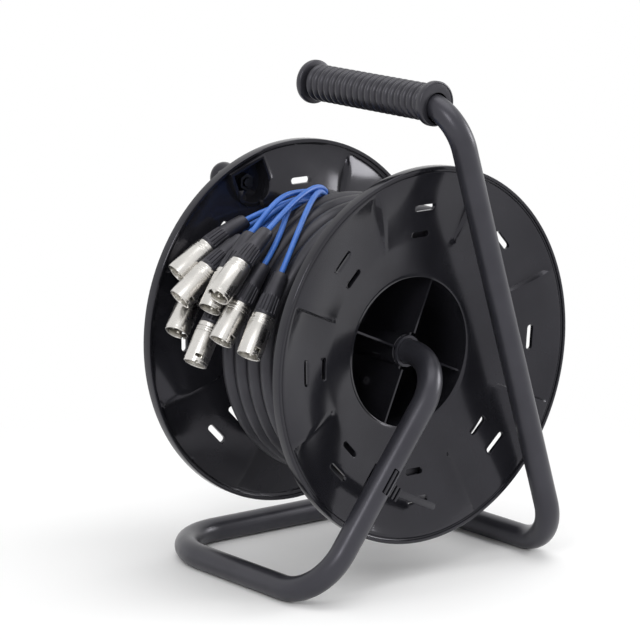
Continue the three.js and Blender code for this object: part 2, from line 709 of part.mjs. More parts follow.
function makeKnob() {
  const radius = KNOB_DIAMETER / 2;
  const bore = boreFor(crankBoltRadius, KNOB_SIDES);
  const well = boreFor(CRANK_BOLT_HEAD_DIAMETER / 2, KNOB_SIDES);
  const edge = KNOB_LENGTH / 16;
  return turned([
    [bore, knobFoot],
    [radius * 0.8, knobFoot],
    [radius * 0.8, knobFoot + 2 * edge],
    [radius * 0.72, knobFoot + 5 * edge],
    [radius * 0.86, knobFoot + 9 * edge],
    [radius, knobFoot + 13 * edge],
    [radius * 0.94, knobEnd - edge],
    [radius * 0.8, knobEnd],
    [well, knobEnd],
    [well, crankHeadSeat - GAP],
    [bore, crankHeadSeat - GAP],
  ], KNOB_SIDES);
}

mesh('crank_knob', makeKnob(), PLASTIC_BLACK, crank);
const crankBolt = makeScrew(
  crankBoltRadius, CRANK_BOLT_HEAD_DIAMETER / 2, CRANK_BOLT_HEAD_HEIGHT,
  pocketFloor - GAP - CRANK_NUT_HEIGHT - OVERRUN, crankHeadSeat,
);
mesh('crank_bolt', crankBolt, ZINC, crank);
const crankNut = makeNut(crankBoltRadius, CRANK_NUT_DIAMETER / 2, CRANK_NUT_HEIGHT, pocketFloor - GAP);
mesh('crank_nut', crankNut, ZINC, crank);

// Drum lock: a plate that rocks in the leg's slot, with a ribbed tongue behind the leg whose
// tooth enters an outer slot of the near flange.
function makeLockLever() {
  const tongueLow = tubeRadius + 2 * GAP;
  const tongueHigh = tongueLow + LOCK_TONGUE_WALL;
  const plateFront = -tubeRadius + 2 * GAP;
  const plate = new THREE.BoxGeometry(LOCK_PLATE_WALL, tongueHigh - plateFront, LOCK_PLATE_LENGTH)
    .translate(0, (tongueHigh + plateFront) / 2, 0);
  const root = LOCK_TONGUE_ROOT / 2;
  const tip = LOCK_TONGUE_TIP / 2;
  const tongueShape = new THREE.Shape();
  tongueShape.moveTo(-LOCK_PLATE_WALL / 2, -root);
  tongueShape.lineTo(LOCK_REACH / 3, -root);
  tongueShape.lineTo(LOCK_REACH, LOCK_RISE - tip);
  tongueShape.absarc(LOCK_REACH, LOCK_RISE, tip, -Math.PI / 2, Math.PI / 2, false);
  tongueShape.lineTo(LOCK_REACH / 3, root);
  tongueShape.lineTo(-LOCK_PLATE_WALL / 2, root);
  const tongue = new THREE.ExtrudeGeometry(tongueShape, {
    depth: LOCK_TONGUE_WALL, bevelEnabled: false, curveSegments: BEND_STEPS,
  }).rotateX(Math.PI / 2).translate(0, tongueHigh, 0);
  const toothLow = tongueLow + LOCK_TONGUE_WALL / 2;
  const tooth = pin(LOCK_TOOTH_DIAMETER / 2, toothLow, tongueHigh + LOCK_TOOTH_LENGTH, HOLE_SIDES)
    .translate(LOCK_REACH, 0, LOCK_RISE);
  const ribPitch = LOCK_REACH / (3 * LOCK_GRIP_RIBS);
  const ribs = Array.from({ length: LOCK_GRIP_RIBS }, (_, i) => new THREE.BoxGeometry(
    ribPitch / 2, 2 * LOCK_GRIP_RIB_HEIGHT, 2 * root,
  ).translate(tubeRadius + ribPitch * (i + 1) * 0.9, tongueLow, 0));
  return joinSolids([plate, tongue, tooth, ...ribs]);
}

mesh('lock_lever', makeLockLever().applyMatrix4(lockFrame()), PLASTIC_BLACK, part);

// Cable winding: the outer layer is one unbroken tube over a plain core. It starts inside the
// core beside the near flange, winds towards the far flange and ends on top of the drum.
function drumPoint(degrees, radius, across) {
  const angle = THREE.MathUtils.degToRad(degrees);
  return new THREE.Vector3(radius * Math.cos(angle), across, radius * Math.sin(angle));
}

function stationsThrough(points) {
  return points.map((point, i) => {
    const before = points[Math.max(i - 1, 0)];
    const after = points[Math.min(i + 1, points.length - 1)];
    return { point, tangent: after.clone().sub(before).normalize() };
  });
}

const diveDegrees = WINDING_START_DEGREES - DIVE_DEGREES;

function windingPoint(degrees) {
  const turns = (degrees - WINDING_LAST_DEGREES) / 360;
  const helixPlace = WINDING_LAST_PLACE + turns * WINDING_PITCH;
  const dive = 1 - THREE.MathUtils.smoothstep(degrees, diveDegrees, WINDING_START_DEGREES);
  const sink = THREE.MathUtils.smoothstep(degrees, WINDING_LAST_DEGREES, WINDING_END_DEGREES);
  const radius = WINDING_RADIUS - dive * (WINDING_RADIUS - WINDING_START_RADIUS)
    - sink * (WINDING_RADIUS - WINDING_END_RADIUS);
  return drumPoint(degrees, radius, THREE.MathUtils.lerp(helixPlace, WINDING_START_PLACE, dive ** 2));
}

const windingPoints = [];
const windingSteps = Math.round(((WINDING_END_DEGREES - diveDegrees) / 360) * LOOP_STEPS);
for (let step = 0; step <= windingSteps; step += 1) {
  windingPoints.push(windingPoint(
    THREE.MathUtils.lerp(diveDegrees, WINDING_END_DEGREES, step / windingSteps),
  ));
}
const [divePoint, nextPoint] = windingPoints;
const [pointBefore, topPoint] = windingPoints.slice(-2);
const startHeading = divePoint.clone().sub(nextPoint).normalize();
const endHeading = topPoint.clone().sub(pointBefore).normalize();
windingPoints.unshift(divePoint.clone().addScaledVector(startHeading, CABLE_DIAMETER));
windingPoints.push(topPoint.clone().addScaledVector(endHeading, CABLE_DIAMETER));

const radialAtStart = windingPoints[0].clone().setY(0).normalize();
const winding = tubeAlong(stationsThrough(windingPoints), radialAtStart, cableRadius, CABLE_SIDES);
mesh('cable_winding', winding, CABLE_BLACK, drum);

// The least gap between two turns of the winding.
function leastGap(points, diameter) {
  const away = LOOP_STEPS / 3;
  let least = Infinity;
  points.forEach((point, i) => {
    points.slice(i + away).forEach((other) => {
      least = Math.min(least, point.distanceTo(other) - diameter);
    });
  });
  return least;
}

console.log(`least gap of the winding to itself: ${leastGap(windingPoints, CABLE_DIAMETER).toFixed(2)} mm`);

function coreEnd(radius) {
  return dishHeight(radius) - FLANGE_WALL - STEP_HEIGHT / 2 - GAP;
}

function makeCore() {
  const inner = (boreRadius + FLANGE_WALL + GAP) / Math.cos(Math.PI / CORE_SIDES);
  const outer = (WINDING_RADIUS - cableRadius) * Math.cos(Math.PI / LOOP_STEPS) - GAP;
  const shoulder = WINDING_LAST_PLACE - GAP;
  const core = turned([
    [inner, -coreEnd(inner)],
    [outer, -coreEnd(outer)],
    [outer, shoulder - cableRadius / 4],
    [FAR_CORE_RADIUS, shoulder - cableRadius / 4 + outer - FAR_CORE_RADIUS],
    [FAR_CORE_RADIUS, coreEnd(FAR_CORE_RADIUS)],
    [inner, coreEnd(inner)],
  ], CORE_SIDES);
  const buried = windingPoints.slice(0, LOOP_STEPS / 3);
  const channel = [buried[0].clone().addScaledVector(startHeading, GAP), ...buried.slice(1)];
  const cutter = tubeAlong(stationsThrough(channel), radialAtStart, cableRadius + 2 * GAP, CABLE_SIDES);
  return toGeometry(toSolid(core).subtract(toSolid(cutter)));
}

mesh('cable_core', makeCore(), CABLE_BLACK, drum);

// Breakout sleeve at the end of the cable, from which the tails fan out.
const windingEnd = windingPoints[windingPoints.length - 1];
const sleeve = mesh('breakout_sleeve', makeSleeve(), RUBBER_BLACK, drum);
sleeve.position.copy(windingEnd);
sleeve.quaternion.setFromUnitVectors(alongY, endHeading);

function makeSleeve() {
  const radius = SLEEVE_DIAMETER / 2;
  const edge = SLEEVE_LENGTH / 8;
  return turned([
    [0, GAP], [radius - edge, GAP], [radius, GAP + edge], [radius, SLEEVE_LENGTH], [0, SLEEVE_LENGTH],
  ], SLEEVE_SIDES);
}

// Plugs: a shell with its mouth towards +Y of the plug's own frame, an insert with three pins,
// and a fluted boot behind the shell's rear.
function makeShell() {
  const radius = SHELL_DIAMETER / 2;
  const bore = SHELL_BORE_DIAMETER / 2;
  const ring = SHELL_RING_WIDTH;
  const neck = (radius + bore) / 2;
  return turned([
    [bore, 0], [radius - ring / 3, 0], [radius - ring / 3, ring],
    [neck, ring * 1.2], [neck, ring * 1.8], [radius, ring * 2.2],
    [radius, SHELL_LENGTH - ring / 2], [radius - ring / 4, SHELL_LENGTH], [bore, SHELL_LENGTH],
  ], SHELL_SIDES);
}

function makeInsert() {
  const face = SHELL_LENGTH - SHELL_MOUTH_DEPTH;
  const base = pin(SHELL_BORE_DIAMETER / 2 - GAP, face - INSERT_THICKNESS, face, INSERT_SIDES);
  const circle = PIN_CIRCLE_DIAMETER / 2;
  const pins = Array.from({ length: PIN_COUNT }, (_, i) => {
    const angle = (2 * Math.PI * i) / PIN_COUNT;
    return pin(PIN_DIAMETER / 2, face - INSERT_THICKNESS / 2, face + PIN_LENGTH, PIN_SIDES)
      .translate(circle * Math.cos(angle), 0, circle * Math.sin(angle));
  });
  return joinSolids([base, ...pins]);
}

// The boot's far end leans over in the given direction, where its tail comes from.
function makeBoot(leanWay) {
  const outer = BOOT_DIAMETER / 2;
  const middle = BOOT_SLEEVE_DIAMETER / 2;
  const tip = BOOT_TIP_DIAMETER / 2;
  const socket = SHELL_BORE_DIAMETER / 2 - GAP;
  const fluted = BOOT_FLUTED_LENGTH;
  const rows = [
    { height: -BOOT_LENGTH, radius: tip, fluteShare: 0 },
    { height: -BOOT_LENGTH * 0.94, radius: tip * 1.1, fluteShare: 0 },
    { height: -BOOT_LENGTH * 0.7, radius: (middle + tip * 1.1) / 2, fluteShare: 0 },
    { height: -fluted * 1.1, radius: middle, fluteShare: 0 },
    { height: -fluted, radius: middle * 1.06, fluteShare: 0.1 },
    { height: -fluted * 0.2, radius: outer, fluteShare: 0.1 },
    { height: -GAP, radius: outer, fluteShare: 0 },
    { height: -GAP, radius: socket, fluteShare: 0 },
    { height: BOOT_SOCKET_DEPTH, radius: socket, fluteShare: 0 },
  ];
  return joinRings(rows.map(({ height, radius, fluteShare }) => {
    const lean = BOOT_LEAN * (Math.min(height, 0) / BOOT_LENGTH) ** 2;
    return Array.from({ length: BOOT_SIDES }, (_, i) => {
      const angle = (2 * Math.PI * i) / BOOT_SIDES;
      const reach = radius * (1 - (i % 2) * fluteShare);
      return new THREE.Vector3(reach * Math.cos(angle), height, reach * Math.sin(angle))
        .addScaledVector(leanWay, lean);
    });
  }));
}

const shellGeometry = makeShell();
const insertGeometry = makeInsert();
const tailRing = (SLEEVE_DIAMETER - TAIL_DIAMETER) / 2 - GAP;
const sleeveEnd = windingEnd.clone().addScaledVector(endHeading, SLEEVE_LENGTH + GAP);
const sleeveAcross = alongY.clone().projectOnPlane(endHeading).normalize();
const sleeveOutward = sleeveAcross.clone().cross(endHeading);

PLUGS.forEach((place, i) => {
  const number = i + 1;
  const across = (place.acrossShare * DRUM_WIDTH) / 2;
  const rear = drumPoint(place.degrees, place.radiusShare * WINDING_RADIUS, across);
  const outward = drumPoint(place.degrees, 1, 0);
  const onward = drumPoint(place.degrees + 90, 1, 0);
  const lift = THREE.MathUtils.degToRad(place.lift);
  const turn = THREE.MathUtils.degToRad(place.turn);
  const heading = outward.multiplyScalar(Math.sin(lift))
    .addScaledVector(onward, Math.cos(lift) * Math.cos(turn))
    .addScaledVector(alongY, -Math.cos(lift) * Math.sin(turn));
  const plug = new THREE.Group();
  plug.position.copy(rear);
  plug.quaternion.setFromUnitVectors(alongY, heading);
  drum.add(plug);
  mesh(`plug_shell_${number}`, shellGeometry, NICKEL, plug);
  mesh(`plug_insert_${number}`, insertGeometry, PLASTIC_BLACK, plug);
  const straightTip = rear.clone().addScaledVector(heading, -BOOT_LENGTH);
  const leanWay = sleeveEnd.clone().sub(straightTip).projectOnPlane(heading).normalize();
  const plugLean = leanWay.clone().applyQuaternion(plug.quaternion.clone().invert());
  mesh(`plug_boot_${number}`, makeBoot(plugLean), RUBBER_BLACK, plug);

  const start = sleeveEnd.clone();
  if (place.ring !== null) {
    const ringAngle = THREE.MathUtils.degToRad(place.ring);
    start.addScaledVector(sleeveAcross, tailRing * Math.cos(ringAngle))
      .addScaledVector(sleeveOutward, tailRing * Math.sin(ringAngle));
  }
  const end = straightTip.clone().addScaledVector(heading, -GAP).addScaledVector(leanWay, BOOT_LEAN);
  const tipHeading = heading.clone().multiplyScalar(-BOOT_LENGTH)
    .addScaledVector(leanWay, 2 * BOOT_LEAN).normalize();
  const span = start.distanceTo(end);
  const shares = TAIL_SHARES[i];
  const route = new THREE.CubicBezierCurve3(
    start,
    start.clone().addScaledVector(endHeading, span * shares.start)
      .addScaledVector(sleeveOutward, span * shares.lift)
      .addScaledVector(alongY, (end.y - start.y) * TAIL_FAN_SHARE),
    end.clone().addScaledVector(tipHeading, span * shares.end),
    end,
  );
  // Both ends are cut square to the faces that they meet.
  const stations = stationsThrough(route.getPoints(TAIL_STEPS));
  stations[0].tangent = endHeading;
  stations[TAIL_STEPS].tangent = heading;
  const tail = tubeAlong(stations, sleeveOutward, TAIL_DIAMETER / 2, TAIL_SIDES);
  mesh(`tail_${number}`, tail, TAIL_BLUE, drum);
});

export default part;
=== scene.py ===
import math

import bmesh
import bpy
import numpy as np
from mathutils import Matrix, Vector


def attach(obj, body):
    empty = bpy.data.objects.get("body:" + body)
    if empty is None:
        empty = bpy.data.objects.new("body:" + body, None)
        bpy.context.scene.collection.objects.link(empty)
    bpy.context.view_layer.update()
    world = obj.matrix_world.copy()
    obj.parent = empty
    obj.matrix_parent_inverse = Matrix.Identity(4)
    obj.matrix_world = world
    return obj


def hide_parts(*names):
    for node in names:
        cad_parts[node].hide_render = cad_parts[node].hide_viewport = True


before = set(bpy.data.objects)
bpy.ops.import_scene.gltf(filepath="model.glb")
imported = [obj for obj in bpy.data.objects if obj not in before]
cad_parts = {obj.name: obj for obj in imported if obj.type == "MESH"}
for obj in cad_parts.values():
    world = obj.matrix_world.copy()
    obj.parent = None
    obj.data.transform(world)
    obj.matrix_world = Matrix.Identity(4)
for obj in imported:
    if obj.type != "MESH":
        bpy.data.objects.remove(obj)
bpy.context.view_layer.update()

MM = 0.001
AXLE_HEIGHT = 173.6
GAP = 0.3
SHARP_DEGREES = 35

# Camera: where it stands, and its right, up and back directions
CAMERA_PLACE = (-1.61754, -1.8649, 0.70946)
CAMERA_RIGHT = (0.76586, -0.64263, 0.02196)
CAMERA_UP = (0.11674, 0.17255, 0.97806)
CAMERA_BACK = (-0.63232, -0.74649, 0.20717)
CAMERA_LENS = 183.72
CAMERA_SENSOR = 36
CAMERA_CLIP = (0.1, 50)

# Stand: its tube's line runs from the axle's free end round the floor to the handle's.
TUBE_RADIUS = 9.6
FLOOR_BAR_HEIGHT = 9.416
STAND_HALF_WIDTH = 122
STAND_FRONT = 103.6
STAND_BACK = 91
HANDLE_HEIGHT = 366
AXLE_END = 58.6
HANDLE_END = 56.7
STAND_CORNERS = (
    (0, AXLE_END, AXLE_HEIGHT), (0, -STAND_FRONT, AXLE_HEIGHT),
    (-STAND_HALF_WIDTH, -STAND_FRONT, FLOOR_BAR_HEIGHT),
    (-STAND_HALF_WIDTH, STAND_BACK, FLOOR_BAR_HEIGHT),
    (STAND_HALF_WIDTH, STAND_BACK, FLOOR_BAR_HEIGHT),
    (STAND_HALF_WIDTH, -STAND_FRONT, FLOOR_BAR_HEIGHT),
    (0, -STAND_FRONT, HANDLE_HEIGHT), (0, HANDLE_END, HANDLE_HEIGHT),
)
BEND_RADII = (40, 40, 57, 57, 40, 35)
BEND_STEPS = 20
LONGEST_STRAIGHT = 40
LEG_LEAN = math.atan2(STAND_HALF_WIDTH, AXLE_HEIGHT - FLOOR_BAR_HEIGHT)

# Grip
GRIP_FRONT = 84
GRIP_BACK = 61
GRIP_RIB_RADIUS = 14.2
GRIP_RIB_DEPTH = 2.8
GRIP_RIBS = 19
GRIP_COLLAR_RADIUS = 17
GRIP_COLLAR_WIDTH = 6
GRIP_MOUTH_RADIUS = 15.2
GRIP_MOUTH_DEPTH = 16
GRIP_BORE_RADIUS = 10
GRIP_BORE_END = 57
GRIP_FACE_SINK = 0.4
GRIP_FACE_OVERLAP = 0.3
GRIP_FACE_INNER = 4
GRIP_FACE_CLEARANCE = 1.4
# One rib's rise: shares of the pitch and of the rib's depth
GRIP_RIB_PROFILE = (
    (0.2, 0), (0.3, 0.06), (0.38, 0.4), (0.46, 0.7), (0.57, 0.92), (0.7, 1), (0.8, 1),
    (0.93, 0.92), (1.04, 0.7), (1.12, 0.4),
)

# Lock lever, in its own frame on the leg
LOCK_ALONG_LEG = 102
LOCK_SLOT_HALF = (3.2, 12, 10.3)
LEVER_PLATE_HALF_WALL = 1.3
LEVER_PLATE_HALF_WIDTH = 10
LEVER_PLATE_LOW = -9
TONGUE_LOW = 10.2
TONGUE_HIGH = 14.6
TONGUE_HALF_WIDTH = 5.5
TONGUE_WIDE_END = 22
TONGUE_NECK = 29
TONGUE_RIBS = 5
TONGUE_RIB_PITCHES = 15
TOOTH_ALONG = 67.6
TOOTH_ACROSS = 9.8
TOOTH_RADIUS = 1.5
TOOTH_REACH = 9
TIP_RADIUS = 2.8

# Drum
RIM_RADIUS = 145
BORE_RADIUS = 57.5
HALF_WIDTH = 82
DISH_DEPTH = 20
WALL = 3
LIP_WALL = 2.6
LIP_WIDTH = 8
SEAM = 0.15
STEP_HEIGHT = 5.5
STEP_FOOT_DEGREES = 0.7
STEP_COLUMNS = 20
# A step along the radius, a lens that thins out at both ends: shares of the face and of the rise
STEP_PROFILE = (
    (0, 0), (0.34, 0), (0.42, 0.26), (0.5, 0.52), (0.58, 0.74), (0.66, 0.9), (0.72, 0.96),
    (0.78, 0.93), (0.84, 0.72), (0.89, 0.42), (0.92, 0.18), (0.945, 0),
)
SECTORS = 8
# Slots: radius of their circle, and length
SLOTS = ((113, 20), (92, 17))
SLOT_END_RADIUS = 2.5
SLOT_CUT = (6, 90)
WEB_RADIUS = 59
HUB_BORE = 9.9
HUB_RADIUS = 12.3
HUB_END = 56
CORE_RIB_HALF_WALL = 0.8
CORE_RIB_ROOT = 10.5
CORE_RIB_START = 14.6
CORE_RIB_END = 60
BOLT_CIRCLE = 32
BOSS_BORE = 2
BOSS_RADIUS = 4.95
BOSS_END = 11.15

# Crank: its pocket in the far flange, and the knob's outline of (radius, height over its foot)
CRANK_RADIUS = 124
CRANK_DEGREES = 112.5
CRANK_BORE = 3.9
CRANK_CUT = (70, 100)
POCKET_HALF_WIDTH = 15
POCKET_FLOOR = 84.2
POCKET_WALL_FOOT = 71.6
POCKET_CUT_FOOT = 66
KNOB_FOOT = 87.5
KNOB_OUTLINE = (
    (3.9, 0), (9.3, 0), (9.6, 0.4), (9.6, 2.8), (9.2, 4), (8.7, 6), (8.62, 8), (8.9, 10.5),
    (9.7, 13.5), (10.9, 17), (11.7, 19.5), (12, 21.3), (11.85, 23), (11.4, 24.4), (10.6, 25.4),
    (9.6, 25.7), (7.2, 25.7), (6.9, 25.4), (6.9, 21.2), (3.9, 21.2),
)

# Winding: angles are in degrees about the axle. The line starts deep beside the near flange, comes
# up to the outer layer, crosses the drum in turns and sinks towards the sleeve.
CABLE_RADIUS = 7.25
WINDING_RADIUS = 104
WINDING_START = -1846
WINDING_UP = -1786
WINDING_SINK = 180
WINDING_STOP = 439.5
WINDING_POINTS = 597
WINDING_CHORDS = 152
WINDING_PITCH = 15.2
DIVE_DEPTH = 18
SINK_DEPTH = 5.5
START_ACROSS = -53.5
SINK_ACROSS = 25
SLEEVE_RADIUS = 8
SLEEVE_LENGTH = 12
SLEEVE_EDGE = 1.2

# Inner turns: a plain stack as a section of (radius, height), and one layer of turns on it
STACK = ((61.2, -56.6), (95.5, -64.6), (95.5, 22.9), (80, 33), (80, 61), (61.2, 56.7))
INNER_START = -200
INNER_STOP = 281
INNER_POINTS = 150
INNER_RADIUS = 76.6
INNER_ACROSS = 33
INNER_PITCH = 14.8
INNER_BURY_DEGREES = 50
INNER_BURY_DEPTH = 9

# Plugs: angle round the drum, rear end as shares of the winding's radius and the drum's half
# width, lift, turn, and place in the ring of tails; the last is where the shell's window faces.
PLUGS = (
    (145.1, 1.233, 0.662, 18, -9.6, 26, 200),
    (152.8, 1.267, 0.463, 21.9, -7.2, None, 215),
    (149.1, 1.3158, -0.011, 18.1, 7.4, 129, 40),
    (152.2, 1.2558, 0.2, 10.4, 7.3, 77, 230),
    (163, 1.19, 0.69, 21.1, 13.6, -26, 120),
    (161.4, 1.227, -0.074, 20.3, 4.4, 231, 215),
    (163.2, 1.2, -0.388, 16, 8.1, 180, 225),
    (170.5, 1.234, 0.275, 22, 6, -77, 250),
)
SHELL_OUTLINE = (
    (7.9, 0), (8.83, 0), (8.83, 2), (8.65, 2.2), (8.65, 3.6), (9.25, 4.0), (9.25, 4.9),
    (9.05, 5.1), (9.05, 5.5), (9.3, 5.7), (9.3, 6.6), (9.1, 6.8), (9.1, 7.2), (9.5, 7.6),
    (9.5, 29.9), (9.3, 30.2), (9.3, 32.2), (9.1, 32.5), (8.2, 32.5), (7.9, 32.2),
)
INSERT_FACE = 19.5
PIN_COUNT = 3
PIN_CIRCLE = 4
# The boot's rows: height, radius, and depth of its flutes as a share of the radius
BOOT_ROWS = (
    (-37, 4.7, 0), (-36.8, 5.2, 0), (-36.2, 5.45, 0), (-34.8, 6, 0), (-32, 6.15, 0),
    (-29, 6.35, 0), (-25.9, 6.55, 0), (-21.5, 6.8, 0), (-17.6, 7, 0), (-17.1, 7.1, 0),
    (-16.7, 7.3, 0.03), (-16, 7.5, 0.1), (-13, 7.75, 0.1), (-8, 8.1, 0.1), (-4, 8.4, 0.1),
    (-3, 8.45, 0.07), (-2.4, 8.5, 0), (-0.6, 8.5, 0), (-0.3, 8.3, 0), (-0.3, 7.6, 0),
    (5, 7.6, 0),
)
BOOT_LENGTH = 37
BOOT_LEAN = 4
BOOT_FLUTES = 18
BOOT_COLUMNS = 108

# Tails. Shares of the straight way between a tail's ends: how far it keeps its start's heading,
# lifts, and keeps its end's heading
TAIL_SHARES = (
    (0.184, -0.054, 0.2), (0.5, -0.12, 0.3), (0.2, 0.14, 0.3), (0.45, -0.12, 0.53),
    (0.3, -0.15, 0.36), (0.544, -0.05, 0.579), (0.2, 0.13, 0.46), (0.605, -0.175, 0.12),
)
TAIL_FAN_SHARE = 0.15
TAIL_RADIUS = 2.15
TAIL_RING_RADIUS = 5.55
TAIL_POINTS = 33

# Studio, in metres and watts
FLOOR_HALF_WIDTH = 8
FLOOR_FADE = (0.2, 0.5)
WORLD_LIGHT = 0.78
LAMPS = (
    ("key", (-1.7, -1.1, 1.5), 0.7, 11),
    ("side", (1.9, -0.8, 0.9), 0.8, 16),
    ("top", (0.3, -0.2, 2.2), 1.6, 14),
)
LAMP_AIM = (0, 0, 0.15)


def add_camera():
    data = bpy.data.cameras.new("camera")
    data.sensor_width = CAMERA_SENSOR
    data.lens = CAMERA_LENS
    data.clip_start, data.clip_end = CAMERA_CLIP
    camera = bpy.data.objects.new("camera", data)
    bpy.context.collection.objects.link(camera)
    turn = Matrix((CAMERA_RIGHT, CAMERA_UP, CAMERA_BACK)).transposed()
    camera.matrix_world = Matrix.Translation(CAMERA_PLACE) @ turn.to_4x4()
    bpy.context.scene.camera = camera


add_camera()


# Shapes: each maker gives points in millimetres and faces.

def grid_faces(rows, columns, rows_close):
    faces = []
    for i in range(rows if rows_close else rows - 1):
        j = (i + 1) % rows
        for k in range(columns):
            m = (k + 1) % columns
            faces.append((i * columns + k, i * columns + m, j * columns + m, j * columns + k))
    return faces


def turned(outline, sides):
    """A body of revolution about Y: the outline is a closed loop of (radius, height)."""
    angles = np.linspace(0, 2 * math.pi, sides, endpoint=False)
    loop = np.array(outline, float)
    points = np.empty((len(loop), sides, 3))
    points[:, :, 0] = loop[:, :1] * np.cos(angles)
    points[:, :, 1] = loop[:, 1:]
    points[:, :, 2] = loop[:, :1] * np.sin(angles)
    return points.reshape(-1, 3), grid_faces(len(loop), sides, True)


def lofted(rings):
    """Rings of equally many points, joined and closed by a face at both ends."""
    count = len(rings[0])
    faces = grid_faces(len(rings), count, False)
    faces.append(tuple(range(count)))
    faces.append(tuple(range((len(rings) - 1) * count, len(rings) * count)))
    return np.concatenate([np.array(ring, float) for ring in rings]), faces


def prism(shape, low, high):
    """A flat shape of (x, z) points, drawn out along Y."""
    return lofted([[(x, height, z) for x, z in shape] for height in (low, high)])


def rounded(outline, radius, steps=3):
    """The outline with each corner rounded off."""
    loop = [np.array(point, float) for point in outline]
    result = []
    for i, corner in enumerate(loop):
        sides = [loop[i - 1] - corner, loop[(i + 1) % len(loop)] - corner]
        lengths = [np.linalg.norm(side) for side in sides]
        reach = min(radius, 0.45 * min(lengths))
        start, end = (corner + side / length * reach for side, length in zip(sides, lengths))
        for step in range(steps + 1):
            t = step / steps
            result.append((1 - t) ** 2 * start + 2 * t * (1 - t) * corner + t ** 2 * end)
    return [tuple(point) for point in result]


def unit(vector):
    return vector / np.linalg.norm(vector)


def tube(line, normal, radius, sides, headings=(None, None)):
    """A round tube along a line of points; headings square off its ends."""
    line = np.array(line, float)
    tangents = np.gradient(line, axis=0)
    for end, heading in zip((0, -1), headings):
        if heading is not None:
            tangents[end] = heading
    tangents = [unit(tangent) for tangent in tangents]
    angles = np.linspace(0, 2 * math.pi, sides, endpoint=False)
    across = unit(normal - tangents[0] * np.dot(normal, tangents[0]))
    rings = []
    for point, tangent in zip(line, tangents):
        across = unit(across - tangent * np.dot(across, tangent))
        upright = np.cross(tangent, across)
        rings.append(point + radius * (np.outer(np.cos(angles), across)
                                       + np.outer(np.sin(angles), upright)))
    return lofted(rings)


def merged(*shapes):
    points, faces, start = [], [], 0
    for shape_points, shape_faces in shapes:
        points.append(shape_points)
        faces.extend(tuple(start + k for k in face) for face in shape_faces)
        start += len(shape_points)
    return np.concatenate(points), faces


def moved(shape, matrix):
    points, faces = shape
    return points @ np.array(matrix)[:3, :3].T + np.array(matrix)[:3, 3], faces


def about_y(degrees):
    # A positive angle turns +Z towards +X, as in the CAD model.
    return Matrix.Rotation(math.radians(degrees), 4, "Y")


def to_circle(radius, angle):
    """A move to a place on a circle about Y."""
    return Matrix.Translation((radius * math.cos(angle), 0, radius * math.sin(angle)))


def to_drum(shape):
    return moved(shape, Matrix.Translation((0, 0, AXLE_HEIGHT)))


def box(low, high, edge):
    """An upright block with its four long edges along Y rounded."""
    (x0, y0, z0), (x1, y1, z1) = low, high
    outline = rounded([(x0, z0), (x1, z0), (x1, z1), (x0, z1)], edge)
    return prism(outline, y0, y1)


# Objects

def new_mesh(name, shape):
    points, faces = shape
    data = bpy.data.meshes.new(name)
    data.from_pydata((points * MM).tolist(), [], faces)
    work = bmesh.new()
    work.from_mesh(data)
    bmesh.ops.remove_doubles(work, verts=work.verts, dist=1e-7)
    bmesh.ops.recalc_face_normals(work, faces=work.faces)
    work.to_mesh(data)
    work.free()
    return data


def link(name, data):
    piece = bpy.data.objects.new(name, data)
    bpy.context.collection.objects.link(piece)
    return piece


def boolean(piece, shape, operation):
    """Cuts a shape out of a piece, or adds it."""
    tool = link("tool", new_mesh("tool", shape))
    modifier = piece.modifiers.new("boolean", "BOOLEAN")
    modifier.operation = operation
    modifier.solver = "EXACT"
    modifier.object = tool
    bake_modifiers(piece)
    bpy.data.objects.remove(tool)


def bevel(piece, width):
    modifier = piece.modifiers.new("bevel", "BEVEL")
    modifier.width = width * MM
    modifier.segments = 2
    modifier.limit_method = "ANGLE"
    modifier.angle_limit = math.radians(SHARP_DEGREES)
    bake_modifiers(piece)


def bake_modifiers(piece):
    bpy.context.view_layer.update()
    graph = bpy.context.evaluated_depsgraph_get()
    data = bpy.data.meshes.new_from_object(piece.evaluated_get(graph))
    piece.modifiers.clear()
    piece.data = data


def join(piece, other):
    work = bmesh.new()
    work.from_mesh(piece.data)
    work.from_mesh(other.data)
    work.to_mesh(piece.data)
    work.free()
    bpy.data.objects.remove(other)


def settle(piece, material, body, nodes, sharp=SHARP_DEGREES):
    """The piece gets its finish and smooth shading and joins its body; the CAD nodes it stands for
    are hidden.
    """
    piece.data.materials.append(material)
    piece.data.shade_smooth()
    piece.data.set_sharp_from_angle(angle=math.radians(sharp))
    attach(piece, body)
    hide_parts(*nodes)
    return piece


# Materials: colour patches, uneven gloss and fine relief, all procedural

def set_sockets(node, **sockets):
    """Sets a node's inputs by name, with _ for a space."""
    for socket, value in sockets.items():
        node.inputs[socket.replace("_", " ")].default_value = value


